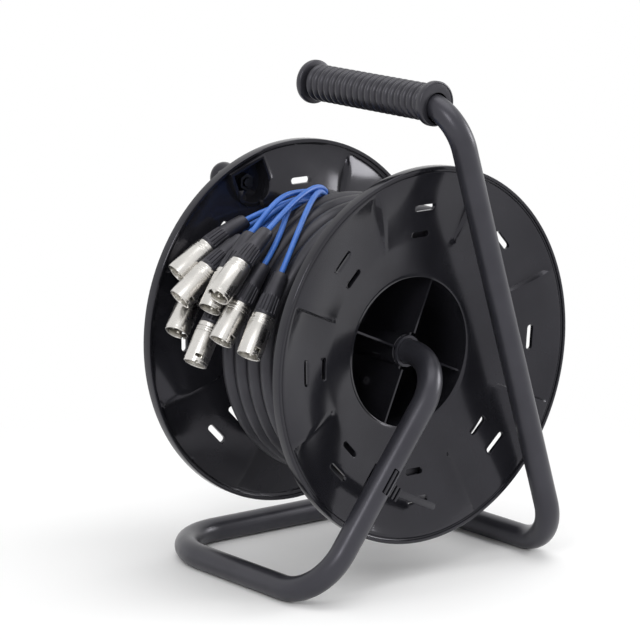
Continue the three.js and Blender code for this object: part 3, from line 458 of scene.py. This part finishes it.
def finish(name, dark, light, patch, gloss, gloss_patch, relief, relief_size, **sockets):
    """dark to light is the colour in patches of a size in mm, gloss the range of roughness."""
    material = bpy.data.materials.new(name)
    material.use_nodes = True
    tree = material.node_tree
    nodes, links = tree.nodes, tree.links
    shader = nodes["Principled BSDF"]
    place = nodes.new("ShaderNodeTexCoord")

    def noise(size, detail):
        node = nodes.new("ShaderNodeTexNoise")
        set_sockets(node, Scale=1 / (size * MM), Detail=detail)
        links.new(place.outputs["Object"], node.inputs["Vector"])
        return node.outputs["Fac"]

    ramp = nodes.new("ShaderNodeValToRGB")
    for element, position, colour in zip(ramp.color_ramp.elements, (0.35, 0.65), (dark, light)):
        element.position = position
        element.color = (*colour, 1)
    links.new(noise(patch, 3), ramp.inputs["Fac"])
    links.new(ramp.outputs["Color"], shader.inputs["Base Color"])

    spread = nodes.new("ShaderNodeMapRange")
    set_sockets(spread, From_Min=0.3, From_Max=0.7, To_Min=gloss[0], To_Max=gloss[1])
    links.new(noise(gloss_patch, 4), spread.inputs["Value"])
    links.new(spread.outputs["Result"], shader.inputs["Roughness"])

    bump = nodes.new("ShaderNodeBump")
    set_sockets(bump, Strength=relief, Distance=0.1 * MM)
    links.new(noise(relief_size, 2), bump.inputs["Height"])
    links.new(bump.outputs["Normal"], shader.inputs["Normal"])
    set_sockets(shader, **sockets)
    return material


COOL = (0.92, 0.9, 1, 1)
STEEL = finish("satin black paint", (0.020, 0.020, 0.025), (0.027, 0.027, 0.033), 30,
               (0.28, 0.36), 12, 0.2, 0.7, Specular_Tint=COOL)
PLASTIC = finish("glossy black plastic", (0.008, 0.008, 0.010), (0.013, 0.013, 0.016), 45,
                 (0.11, 0.17), 18, 0.1, 2.5, Specular_IOR_Level=0.42, Specular_Tint=COOL)
GRIP = finish("grip rubber", (0.013, 0.013, 0.016), (0.020, 0.020, 0.024), 8,
              (0.28, 0.38), 5, 0.4, 0.35, Specular_IOR_Level=0.6, Specular_Tint=COOL)
RUBBER = finish("boot rubber", (0.014, 0.014, 0.017), (0.021, 0.021, 0.026), 8,
                (0.36, 0.48), 5, 0.4, 0.3, Specular_Tint=COOL)
CABLE = finish("cable jacket", (0.014, 0.014, 0.017), (0.021, 0.021, 0.025), 20,
               (0.34, 0.46), 8, 0.3, 0.6, Specular_Tint=COOL)
BLUE = finish("blue jacket", (0.035, 0.14, 0.5), (0.055, 0.18, 0.6), 12,
              (0.34, 0.44), 6, 0.2, 0.5)
NICKEL = finish("satin nickel", (0.60, 0.585, 0.56), (0.70, 0.68, 0.65), 16,
                (0.24, 0.31), 9, 0.08, 0.3, Metallic=1)
INSERT = finish("insert plastic", (0.012, 0.012, 0.013), (0.02, 0.02, 0.022), 5,
                (0.35, 0.5), 3, 0.3, 0.3)
PINS = finish("pin plating", (0.70, 0.68, 0.62), (0.78, 0.76, 0.70), 3,
              (0.18, 0.26), 2, 0.1, 0.3, Metallic=1)
ZINC = finish("zinc plating", (0.44, 0.45, 0.46), (0.55, 0.55, 0.56), 4,
              (0.28, 0.4), 2, 0.2, 0.3, Metallic=1)
DARK_ZINC = finish("black zinc", (0.03, 0.03, 0.032), (0.05, 0.05, 0.053), 4,
                   (0.3, 0.42), 2, 0.2, 0.3, Metallic=1)


# Winding line, in the drum's frame

def smoothstep(value, low, high):
    t = min(max((value - low) / (high - low), 0), 1)
    return t * t * (3 - 2 * t)


def drum_point(degrees, radius, across):
    angle = math.radians(degrees)
    return np.array((radius * math.cos(angle), across, radius * math.sin(angle)))


def winding_point(degrees):
    dive = 1 - smoothstep(degrees, WINDING_START, WINDING_UP)
    sink = smoothstep(degrees, WINDING_SINK, WINDING_STOP)
    radius = WINDING_RADIUS - dive * DIVE_DEPTH - sink * SINK_DEPTH
    helix = SINK_ACROSS + (degrees - WINDING_SINK) / 360 * WINDING_PITCH
    across = helix + (START_ACROSS - helix) * dive ** 2
    return drum_point(degrees, radius, across)


def winding_line():
    angles = np.linspace(WINDING_START, WINDING_STOP, WINDING_POINTS)
    points = [winding_point(degrees) for degrees in angles]
    # The CAD line's ends are straight along its last chords.
    chord = (WINDING_STOP - WINDING_START) / WINDING_CHORDS
    start_heading = unit(points[0] - winding_point(WINDING_START + chord))
    end_heading = unit(points[-1] - winding_point(WINDING_STOP - chord))
    return ([points[0] + start_heading * 2 * CABLE_RADIUS] + points
            + [points[-1] + end_heading * 2 * CABLE_RADIUS], end_heading)


WINDING, END_HEADING = winding_line()
WINDING_END = WINDING[-1]
SLEEVE_END = WINDING_END + END_HEADING * (SLEEVE_LENGTH + GAP)
ALONG_Y = np.array((0.0, 1.0, 0.0))
SLEEVE_ACROSS = unit(ALONG_Y - END_HEADING * END_HEADING[1])
SLEEVE_OUTWARD = np.cross(SLEEVE_ACROSS, END_HEADING)


def turn_from_y(heading):
    """The shortest turn that brings +Y to a heading."""
    return Vector((0, 1, 0)).rotation_difference(Vector(heading)).to_matrix().to_4x4()


# Plug pieces, in the plug's own frame: rear end at the origin, mouth towards +Y

def insert_shape():
    face = INSERT_FACE
    outline = [(0, face - 6), (7.6, face - 6), (7.6, face), (5.9, face), (5.9, face - 0.5),
               (5.5, face - 0.5), (5.5, face), (0, face)]
    return turned(rounded(outline, 0.1, 2), 48)


def pins_shape():
    face = INSERT_FACE
    pin = turned([(0, face - 1), (1.2, face - 1), (1.2, face + 10), (1.0, face + 10.6),
                  (0.55, face + 10.95), (0, face + 11)], 20)
    return merged(*[moved(pin, to_circle(PIN_CIRCLE, 2 * math.pi * i / PIN_COUNT))
                    for i in range(PIN_COUNT)])


def boot_shape(lean_way):
    """A fluted boot whose far end leans over in a direction, where its tail comes from."""
    rings = []
    for height, radius, depth in BOOT_ROWS:
        lean = np.array(lean_way) * BOOT_LEAN * (min(height, 0) / BOOT_LENGTH) ** 2
        ring = []
        for k in range(BOOT_COLUMNS):
            wave = math.cos(2 * math.pi * k * BOOT_FLUTES / BOOT_COLUMNS)
            reach = radius * (1 - depth * smoothstep(wave, -0.1, 0.7))
            angle = 2 * math.pi * k / BOOT_COLUMNS
            ring.append(lean + (reach * math.cos(angle), height, reach * math.sin(angle)))
        rings.append(ring)
    return lofted(rings)


def window_shape():
    """The latch window near the shell's mouth, and a key slot at its edge."""
    window = box((-2.7, 25.6, 5), (2.7, 28.4, 12), 0.3)
    slot = box((-1.1, 30.9, 5), (1.1, 34, 12), 0.2)
    return merged(window, slot)


def make_shell_mesh():
    shell = turned(rounded(SHELL_OUTLINE, 0.12, 2), 72)
    template = link("shell template", new_mesh("plug_shell", shell))
    boolean(template, window_shape(), "DIFFERENCE")
    data = template.data
    bpy.data.objects.remove(template)
    return data


def tail_line(shares, ring, tip, tip_heading):
    """A tail's curve, from its place in the ring at the sleeve's end to the tip of its boot."""
    start = SLEEVE_END.copy()
    if ring is not None:
        angle = math.radians(ring)
        start += TAIL_RING_RADIUS * (SLEEVE_ACROSS * math.cos(angle)
                                     + SLEEVE_OUTWARD * math.sin(angle))
    span = np.linalg.norm(tip - start)
    start_share, lift_share, end_share = shares
    fan = ALONG_Y * (tip[1] - start[1]) * TAIL_FAN_SHARE
    corners = (start, start + END_HEADING * span * start_share
               + SLEEVE_OUTWARD * span * lift_share + fan,
               tip + tip_heading * span * end_share, tip)
    line = []
    for t in np.linspace(0, 1, TAIL_POINTS):
        weights = ((1 - t) ** 3, 3 * t * (1 - t) ** 2, 3 * t * t * (1 - t), t ** 3)
        line.append(sum(weight * corner for weight, corner in zip(weights, corners)))
    return line


def make_plugs():
    shell_mesh = make_shell_mesh()
    for i, (degrees, radius_share, across_share, lift, turn, ring, roll) in enumerate(PLUGS):
        number = i + 1
        rear = drum_point(degrees, radius_share * WINDING_RADIUS, across_share * HALF_WIDTH)
        lift, turn = math.radians(lift), math.radians(turn)
        heading = (drum_point(degrees, 1, 0) * math.sin(lift)
                   + drum_point(degrees + 90, 1, 0) * math.cos(lift) * math.cos(turn)
                   - ALONG_Y * math.cos(lift) * math.sin(turn))
        turn_to_plug = turn_from_y(heading)
        place = Matrix.Translation(Vector(rear + (0, 0, AXLE_HEIGHT)) * MM) @ turn_to_plug
        straight_tip = rear - heading * BOOT_LENGTH
        lean_way = SLEEVE_END - straight_tip
        lean_way = unit(lean_way - heading * np.dot(lean_way, heading))
        plug_lean = turn_to_plug.to_3x3().transposed() @ Vector(lean_way)

        def plug_piece(name, node, data, material, roll=0):
            data.transform(place @ about_y(roll))
            piece = link(f"{name}_{number}_look", data)
            return settle(piece, material, "drum", [f"plug_{node}_{number}"])

        boot_data = new_mesh("plug_boot", boot_shape(plug_lean))
        insert_data = new_mesh("plug_insert", insert_shape())
        pins_data = new_mesh("plug_pins", pins_shape())
        shell = plug_piece("shell", "shell", shell_mesh.copy(), NICKEL, roll)
        boot = plug_piece("boot", "boot", boot_data, RUBBER)
        insert = plug_piece("insert", "insert", insert_data, INSERT)
        pins = plug_piece("pins", "insert", pins_data, PINS)

        tip = straight_tip - heading * GAP + lean_way * BOOT_LEAN
        tip_heading = unit(lean_way * 2 * BOOT_LEAN - heading * BOOT_LENGTH)
        line = tail_line(TAIL_SHARES[i], ring, tip, tip_heading)
        shape = tube(line, SLEEVE_OUTWARD, TAIL_RADIUS, 24, (END_HEADING, heading))
        tail = link(f"tail_{number}_look", new_mesh("tail", to_drum(shape)))
        settle(tail, BLUE, "drum", [f"tail_{number}"])


make_plugs()


def make_cable():
    normal = unit(WINDING[0] * (1, 0, 1))
    shape = tube(WINDING, normal, CABLE_RADIUS, 28)
    winding = link("winding_look", new_mesh("winding", to_drum(shape)))
    settle(winding, CABLE, "drum", ["cable_winding"])

    line = []
    for degrees in np.linspace(INNER_START, INNER_STOP, INNER_POINTS):
        from_end = min(degrees - INNER_START, INNER_STOP - degrees)
        buried = 1 - smoothstep(from_end, 0, INNER_BURY_DEGREES)
        across = INNER_ACROSS + (degrees - INNER_START) / 360 * INNER_PITCH
        line.append(drum_point(degrees, INNER_RADIUS - buried * INNER_BURY_DEPTH, across))
    turns = tube(line, drum_point(INNER_START, 1, 0), CABLE_RADIUS, 24)
    shape = to_drum(merged(turned(STACK, 96), turns))
    core = link("inner_turns_look", new_mesh("inner_turns", shape))
    settle(core, CABLE, "drum", ["cable_core"])

    outline = rounded([(0, GAP), (SLEEVE_RADIUS, GAP), (SLEEVE_RADIUS, SLEEVE_LENGTH),
                       (0, SLEEVE_LENGTH)], SLEEVE_EDGE, 4)
    sleeve = link("sleeve_look", new_mesh("sleeve", turned(outline, 40)))
    place = Vector(WINDING_END + (0, 0, AXLE_HEIGHT)) * MM
    sleeve.matrix_world = Matrix.Translation(place) @ turn_from_y(END_HEADING)
    settle(sleeve, RUBBER, "drum", ["breakout_sleeve"])


make_cable()


# Drum mouldings, made as the far one, its outer side towards +Y

def dish(radius):
    return HALF_WIDTH - DISH_DEPTH * (RIM_RADIUS - radius) / (RIM_RADIUS - BORE_RADIUS)


def flange_outline():
    """A half's section: radius, height, and how much of a step's rise the point takes."""
    lip = RIM_RADIUS - LIP_WALL
    rim_low = HALF_WIDTH - LIP_WIDTH
    edge = 0.5
    shares = np.concatenate([np.linspace(0, 0.14, 4), np.linspace(0.18, 0.945, 26)])
    rises = np.interp(shares, *zip(*STEP_PROFILE))
    radii = [BORE_RADIUS + share * (RIM_RADIUS - BORE_RADIUS) for share in shares]
    outer = [(radius, dish(radius), rise) for radius, rise in zip(radii, rises)]
    rim = [
        (lip - 1.5, dish(lip) - 1.2, 0), (lip - 0.8, dish(lip) - 1.4, 0),
        (lip - 0.2, dish(lip) - 1.1, 0), (lip, HALF_WIDTH - edge, 0),
        (lip + edge * 0.5, HALF_WIDTH, 0), (RIM_RADIUS - edge, HALF_WIDTH, 0),
        (RIM_RADIUS, HALF_WIDTH - edge, 0), (RIM_RADIUS, rim_low + edge, 0),
        (RIM_RADIUS - edge, rim_low, 0), (lip, rim_low, 0), (lip, dish(lip) - 4.4, 0),
    ]
    inner = [(radius, height - WALL, rise) for radius, height, rise in outer[:3:-1]]
    barrel = BORE_RADIUS + WALL
    foot = [(barrel, dish(barrel) - WALL, 0), (barrel, SEAM, 0), (BORE_RADIUS, SEAM, 0)]
    mouth = [(BORE_RADIUS, dish(BORE_RADIUS) - 0.7, 0),
             (BORE_RADIUS + 0.2, dish(BORE_RADIUS) - 0.2, 0)]
    outer[0] = (BORE_RADIUS + 0.7, dish(BORE_RADIUS + 0.7), 0)
    return outer + rim + inner + foot + mouth


def flange_shape():
    radii, heights, rises = np.array(flange_outline()).T
    sector = 360 / SECTORS
    columns = []
    for i in range(SECTORS):
        for share in np.linspace(0, 1, STEP_COLUMNS):
            angle = math.radians(sector * (i + 0.5) + share * (sector - STEP_FOOT_DEGREES))
            columns.append(np.stack([radii * math.cos(angle),
                                     heights + rises * STEP_HEIGHT * (0.5 - share),
                                     radii * math.sin(angle)], axis=1))
    faces = [(a, d, c, b) for a, b, c, d in grid_faces(len(columns), len(radii), True)]
    return np.concatenate(columns), faces


def slot_shape(radius, length, degrees):
    half = length / 2 - SLOT_END_RADIUS
    outline = []
    for end, first in ((half, -90), (-half, 90)):
        for step in range(9):
            angle = math.radians(first + step * 22.5)
            outline.append((end + SLOT_END_RADIUS * math.cos(angle),
                            -radius + SLOT_END_RADIUS * math.sin(angle)))
    return moved(prism(outline, *SLOT_CUT), about_y(degrees))


def pocket_shape(wall, low, high):
    """The crank's pocket: half round towards the axle, and square towards the rim."""
    half = POCKET_HALF_WIDTH + wall
    corner = math.sqrt((RIM_RADIUS - LIP_WALL) ** 2 - (POCKET_HALF_WIDTH + WALL) ** 2)
    outward = corner - CRANK_RADIUS - WALL + wall
    outline = [(half * math.cos(angle), CRANK_RADIUS + half * math.sin(angle))
               for angle in np.linspace(math.pi, 2 * math.pi, 25)]
    outline += [(half, CRANK_RADIUS + outward), (-half, CRANK_RADIUS + outward)]
    return moved(prism(outline, low, high), about_y(90 - CRANK_DEGREES))


def core_rib(start, end, height):
    half = CORE_RIB_HALF_WALL
    return prism([(start, -half), (end, -half), (end, half), (start, half)], SEAM, height)


def inner_shapes():
    """Web, hub, core ribs and bolt bosses inside the barrel."""
    shapes = [
        turned([(HUB_BORE, SEAM), (WEB_RADIUS, SEAM), (WEB_RADIUS, SEAM + WALL),
                (HUB_BORE, SEAM + WALL)], 96),
        turned([(HUB_BORE, SEAM), (HUB_RADIUS, SEAM), (HUB_RADIUS, HUB_END - 0.4),
                (HUB_RADIUS - 0.4, HUB_END), (HUB_BORE + 0.2, HUB_END),
                (HUB_BORE, HUB_END - 0.2)], 64),
    ]
    rib = merged(core_rib(CORE_RIB_START, WEB_RADIUS, CORE_RIB_END),
                 core_rib(CORE_RIB_ROOT, CORE_RIB_START, HUB_END))
    boss = turned([(BOSS_BORE, SEAM), (BOSS_RADIUS, SEAM), (BOSS_RADIUS, BOSS_END - 0.35),
                   (BOSS_RADIUS - 0.3, BOSS_END), (BOSS_BORE, BOSS_END)], 32)
    for i in range(4):
        shapes.append(moved(rib, about_y(90 * (i + 0.75))))
        shapes.append(moved(boss, to_circle(BOLT_CIRCLE, math.radians(90 * (i + 0.5)))))
    return merged(*shapes)


CRANK_PLACE = to_circle(CRANK_RADIUS, math.radians(CRANK_DEGREES))


def make_half(name, node, turn, with_crank):
    piece = link(name, new_mesh(name, flange_shape()))
    if with_crank:
        boolean(piece, pocket_shape(WALL, POCKET_WALL_FOOT, POCKET_FLOOR + WALL), "UNION")
        boolean(piece, pocket_shape(0, POCKET_CUT_FOOT, POCKET_FLOOR), "DIFFERENCE")
        low, high = CRANK_CUT
        hole = turned([(0, low), (CRANK_BORE, low), (CRANK_BORE, high), (0, high)], 32)
        boolean(piece, moved(hole, CRANK_PLACE), "DIFFERENCE")
    slots = [slot_shape(radius, length, 360 / SECTORS * i)
             for i in range(SECTORS) for radius, length in SLOTS]
    boolean(piece, merged(*slots), "DIFFERENCE")
    bevel(piece, 0.35)
    join(piece, link("core", new_mesh("core", inner_shapes())))
    piece.data.transform(Matrix.Translation((0, 0, AXLE_HEIGHT * MM)) @ turn)
    settle(piece, PLASTIC, "drum", [node], 28)


make_half("far_half_look", "far_drum_half", Matrix(), True)
make_half("near_half_look", "near_drum_half", Matrix.Rotation(math.pi, 4, "Z"), False)


# Stand and grip

def bent_line(corners, radii):
    corners = [np.array(corner, float) for corner in corners]
    points = [corners[0]]
    for i in range(1, len(corners) - 1):
        into, out = unit(corners[i] - corners[i - 1]), unit(corners[i + 1] - corners[i])
        turn = math.acos(np.dot(into, out))
        axis = unit(np.cross(into, out))
        start = corners[i] - into * radii[i - 1] * math.tan(turn / 2)
        centre = start + np.cross(axis, into) * radii[i - 1]
        arm = start - centre
        for step in range(BEND_STEPS + 1):
            angle = turn * step / BEND_STEPS
            points.append(centre + arm * math.cos(angle) + np.cross(axis, arm) * math.sin(angle))
    points.append(corners[-1])
    return points


def straight_parts_split(points):
    """More points on the long straight stretches, so that the tube's faces stay even there."""
    result = [points[0]]
    for point in points[1:]:
        last = result[-1]
        pieces = max(1, int(np.linalg.norm(point - last) / LONGEST_STRAIGHT))
        result += [last + (point - last) * (k + 1) / pieces for k in range(pieces)]
    return result


def stand_tube(line, radius):
    return tube(line, np.array((-1.0, 0, 0)), radius, 48)


def lock_frame():
    down = (-math.sin(LEG_LEAN), 0, -math.cos(LEG_LEAN))
    centre = Vector((0, -STAND_FRONT, AXLE_HEIGHT)) + Vector(down) * LOCK_ALONG_LEG
    return Matrix.Translation(centre) @ about_y(math.degrees(LEG_LEAN))


def make_stand():
    line = straight_parts_split(bent_line(STAND_CORNERS, BEND_RADII))
    points, faces = stand_tube(line, TUBE_RADIUS)
    points[:, 2] = np.maximum(points[:, 2], 0)
    stand = link("stand_look", new_mesh("stand", (points, faces)))
    slot = box([-half for half in LOCK_SLOT_HALF], LOCK_SLOT_HALF, 0.8)
    boolean(stand, moved(slot, lock_frame()), "DIFFERENCE")
    settle(stand, STEEL, "stand", ["stand_tube"])


def grip_shape():
    front, back, collar = -GRIP_FRONT, GRIP_BACK, GRIP_COLLAR_RADIUS
    first, last = front + GRIP_COLLAR_WIDTH, back - GRIP_COLLAR_WIDTH
    pitch = (last - first) / (GRIP_RIBS + 0.5)
    groove = GRIP_RIB_RADIUS - GRIP_RIB_DEPTH
    outline = [(GRIP_MOUTH_RADIUS, front + 0.5), (GRIP_MOUTH_RADIUS + 0.4, front),
               (collar - 1.2, front), (collar - 0.35, front + 0.35), (collar, front + 1.2),
               (collar, first - 1.4), (collar - 0.35, first - 0.6), (collar - 1.2, first - 0.2),
               (12.6, first)]
    for rib in range(GRIP_RIBS):
        for share, rise in GRIP_RIB_PROFILE:
            outline.append((groove + GRIP_RIB_DEPTH * rise, first + (rib + share) * pitch))
    outline += [(groove, last), (collar - 1.2, last + 0.2), (collar - 0.35, last + 0.6),
                (collar, last + 1.4), (collar, back - 2.4), (collar - 0.5, back - 1.1),
                (collar - 1.6, back - 0.3), (collar - 3, back), (0, back), (0, GRIP_BORE_END),
                (GRIP_BORE_RADIUS, GRIP_BORE_END), (GRIP_BORE_RADIUS, front + GRIP_MOUTH_DEPTH)]
    return turned(outline, 80)


def make_grip():
    lift = Matrix.Translation((0, 0, HANDLE_HEIGHT * MM))
    grip = link("grip_look", new_mesh("grip", grip_shape()))
    grip.data.transform(lift)
    settle(grip, GRIP, "stand", ["handle_grip"], 50)

    # The grip's end face closes the mouth up to the tube, which is already bending there.
    edge = GRIP_MOUTH_RADIUS + GRIP_FACE_OVERLAP
    low, high = -GRIP_FRONT + GRIP_FACE_SINK, -GRIP_FRONT + GRIP_FACE_INNER
    shape = turned([(0, low), (edge, low), (edge, high), (0, high)], 80)
    face = link("grip_face_look", new_mesh("grip_face", shape))
    face.data.transform(lift)
    bend = bent_line(STAND_CORNERS[-3:], BEND_RADII[-1:])
    boolean(face, stand_tube(bend, TUBE_RADIUS + GRIP_FACE_CLEARANCE), "DIFFERENCE")
    bevel(face, 0.3)
    settle(face, GRIP, "stand", ["handle_grip"])


make_stand()
make_grip()


# Crank knob and lock lever

def make_knob():
    outline = [(radius, KNOB_FOOT + height) for radius, height in KNOB_OUTLINE]
    shape = to_drum(moved(turned(outline, 48), CRANK_PLACE))
    knob = link("knob_look", new_mesh("knob", shape))
    settle(knob, PLASTIC, "crank_knob", ["crank_knob"])


def make_lever():
    foot, width = LEVER_PLATE_HALF_WALL, LEVER_PLATE_HALF_WIDTH
    plate = prism([(-foot, -width), (foot, -width), (foot, width), (-foot, width)],
                  LEVER_PLATE_LOW, TONGUE_HIGH)
    half = TONGUE_HALF_WIDTH
    outline = [(-foot, -half), (TONGUE_WIDE_END, -half), (TONGUE_NECK, -1.4),
               (TOOTH_ALONG, TOOTH_ACROSS - TIP_RADIUS)]
    outline += [(TOOTH_ALONG + TIP_RADIUS * math.cos(angle),
                 TOOTH_ACROSS + TIP_RADIUS * math.sin(angle))
                for angle in np.linspace(-math.pi / 2, math.pi / 2, 9)]
    outline += [(TONGUE_NECK, 4.2), (TONGUE_WIDE_END, half), (-foot, half)]
    tongue = prism(outline, TONGUE_LOW, TONGUE_HIGH)
    end = TONGUE_HIGH + TOOTH_REACH
    tooth = turned([(0, 12), (TOOTH_RADIUS, 12), (TOOTH_RADIUS, end - 0.6),
                    (TOOTH_RADIUS - 0.6, end), (0, end)], 24)
    tooth = moved(tooth, Matrix.Translation((TOOTH_ALONG, 0, TOOTH_ACROSS)))
    pitch = TOOTH_ALONG / TONGUE_RIB_PITCHES
    ribs = []
    for i in range(TONGUE_RIBS):
        place = TUBE_RADIUS + pitch * (i + 1) * 0.9
        ribs.append(box((place - pitch / 4, TONGUE_LOW - 1, -half),
                        (place + pitch / 4, TONGUE_LOW + 1, half), 0.3))
    lever = link("lever_look", new_mesh("lever", merged(plate, tongue, tooth, *ribs)))
    bevel(lever, 0.4)
    matrix = lock_frame()
    matrix.translation *= MM
    lever.data.transform(matrix)
    settle(lever, PLASTIC, "lock_lever", ["lock_lever"])


make_knob()
make_lever()

# Fasteners and small rings keep their CAD shapes, with a finish of their own.
KEPT = {
    "axle_stop_ring": STEEL, "thrust_washer": ZINC, "axle_end_cap": PLASTIC, "axle_screw": ZINC,
    "crank_bolt": DARK_ZINC, "crank_nut": DARK_ZINC,
}
for number in range(1, 5):
    KEPT[f"drum_bolt_{number}"] = ZINC
    KEPT[f"drum_nut_{number}"] = ZINC
for name, material in KEPT.items():
    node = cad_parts[name]
    node.data.materials.clear()
    node.data.materials.append(material)


# Studio: pale floor, soft white surroundings and three soft lamps

def seen_directly(nodes, links):
    """1 for the rays of the camera, of reflections and through clear bodies, 0 for lighting."""
    path = nodes.new("ShaderNodeLightPath")
    total = path.outputs["Is Camera Ray"]
    for ray in ("Is Glossy Ray", "Is Transmission Ray"):
        add = nodes.new("ShaderNodeMath")
        add.operation = "ADD"
        add.use_clamp = True
        links.new(total, add.inputs[0])
        links.new(path.outputs[ray], add.inputs[1])
        total = add.outputs[0]
    return total


def mixed(nodes, links, share, first, second, output):
    """Sends a mix of two shaders to the output: the first at a share of 0, the second at 1."""
    mix = nodes.new("ShaderNodeMixShader")
    links.new(share, mix.inputs["Fac"])
    links.new(first, mix.inputs[1])
    links.new(second, mix.inputs[2])
    links.new(mix.outputs["Shader"], nodes[output].inputs["Surface"])


def make_floor():
    side = FLOOR_HALF_WIDTH
    data = bpy.data.meshes.new("floor")
    data.from_pydata([(-side, -side, 0), (side, -side, 0), (side, side, 0), (-side, side, 0)],
                     [], [(0, 1, 2, 3)])
    floor = link("floor", data)
    material = finish("floor", (0.95, 0.95, 0.95), (0.97, 0.97, 0.97), 400,
                      (0.7, 0.8), 200, 0.0, 10, Specular_IOR_Level=0.2)
    data.materials.append(material)

    # Away from the object's shadow the floor is seen as plain white.
    nodes, links = material.node_tree.nodes, material.node_tree.links
    place = nodes.new("ShaderNodeTexCoord")
    distance = nodes.new("ShaderNodeVectorMath")
    distance.operation = "LENGTH"
    links.new(place.outputs["Object"], distance.inputs[0])
    fade = nodes.new("ShaderNodeMapRange")
    fade.interpolation_type = "SMOOTHSTEP"
    set_sockets(fade, From_Min=FLOOR_FADE[0], From_Max=FLOOR_FADE[1])
    links.new(distance.outputs["Value"], fade.inputs["Value"])
    share = nodes.new("ShaderNodeMath")
    share.operation = "MULTIPLY"
    links.new(fade.outputs["Result"], share.inputs[0])
    links.new(seen_directly(nodes, links), share.inputs[1])
    white = nodes.new("ShaderNodeEmission")
    mixed(nodes, links, share.outputs["Value"], nodes["Principled BSDF"].outputs["BSDF"],
          white.outputs["Emission"], "Material Output")


def make_world():
    world = bpy.data.worlds.new("studio")
    bpy.context.scene.world = world
    world.use_nodes = True
    nodes, links = world.node_tree.nodes, world.node_tree.links
    seen = nodes["Background"]
    set_sockets(seen, Color=(1, 1, 1, 1), Strength=1)
    lighting = nodes.new("ShaderNodeBackground")
    set_sockets(lighting, Color=(1, 1, 1, 1), Strength=WORLD_LIGHT)
    mixed(nodes, links, seen_directly(nodes, links), lighting.outputs["Background"],
          seen.outputs["Background"], "World Output")


def make_lamps():
    for name, place, size, power in LAMPS:
        light = bpy.data.lights.new(name, "AREA")
        light.size = size
        light.energy = power
        lamp = link(name, light)
        lamp.location = place
        aim = Vector(LAMP_AIM) - Vector(place)
        lamp.rotation_euler = aim.to_track_quat("-Z", "Y").to_euler()


make_floor()
make_world()
make_lamps()
bpy.context.scene.view_settings.view_transform = "Standard"
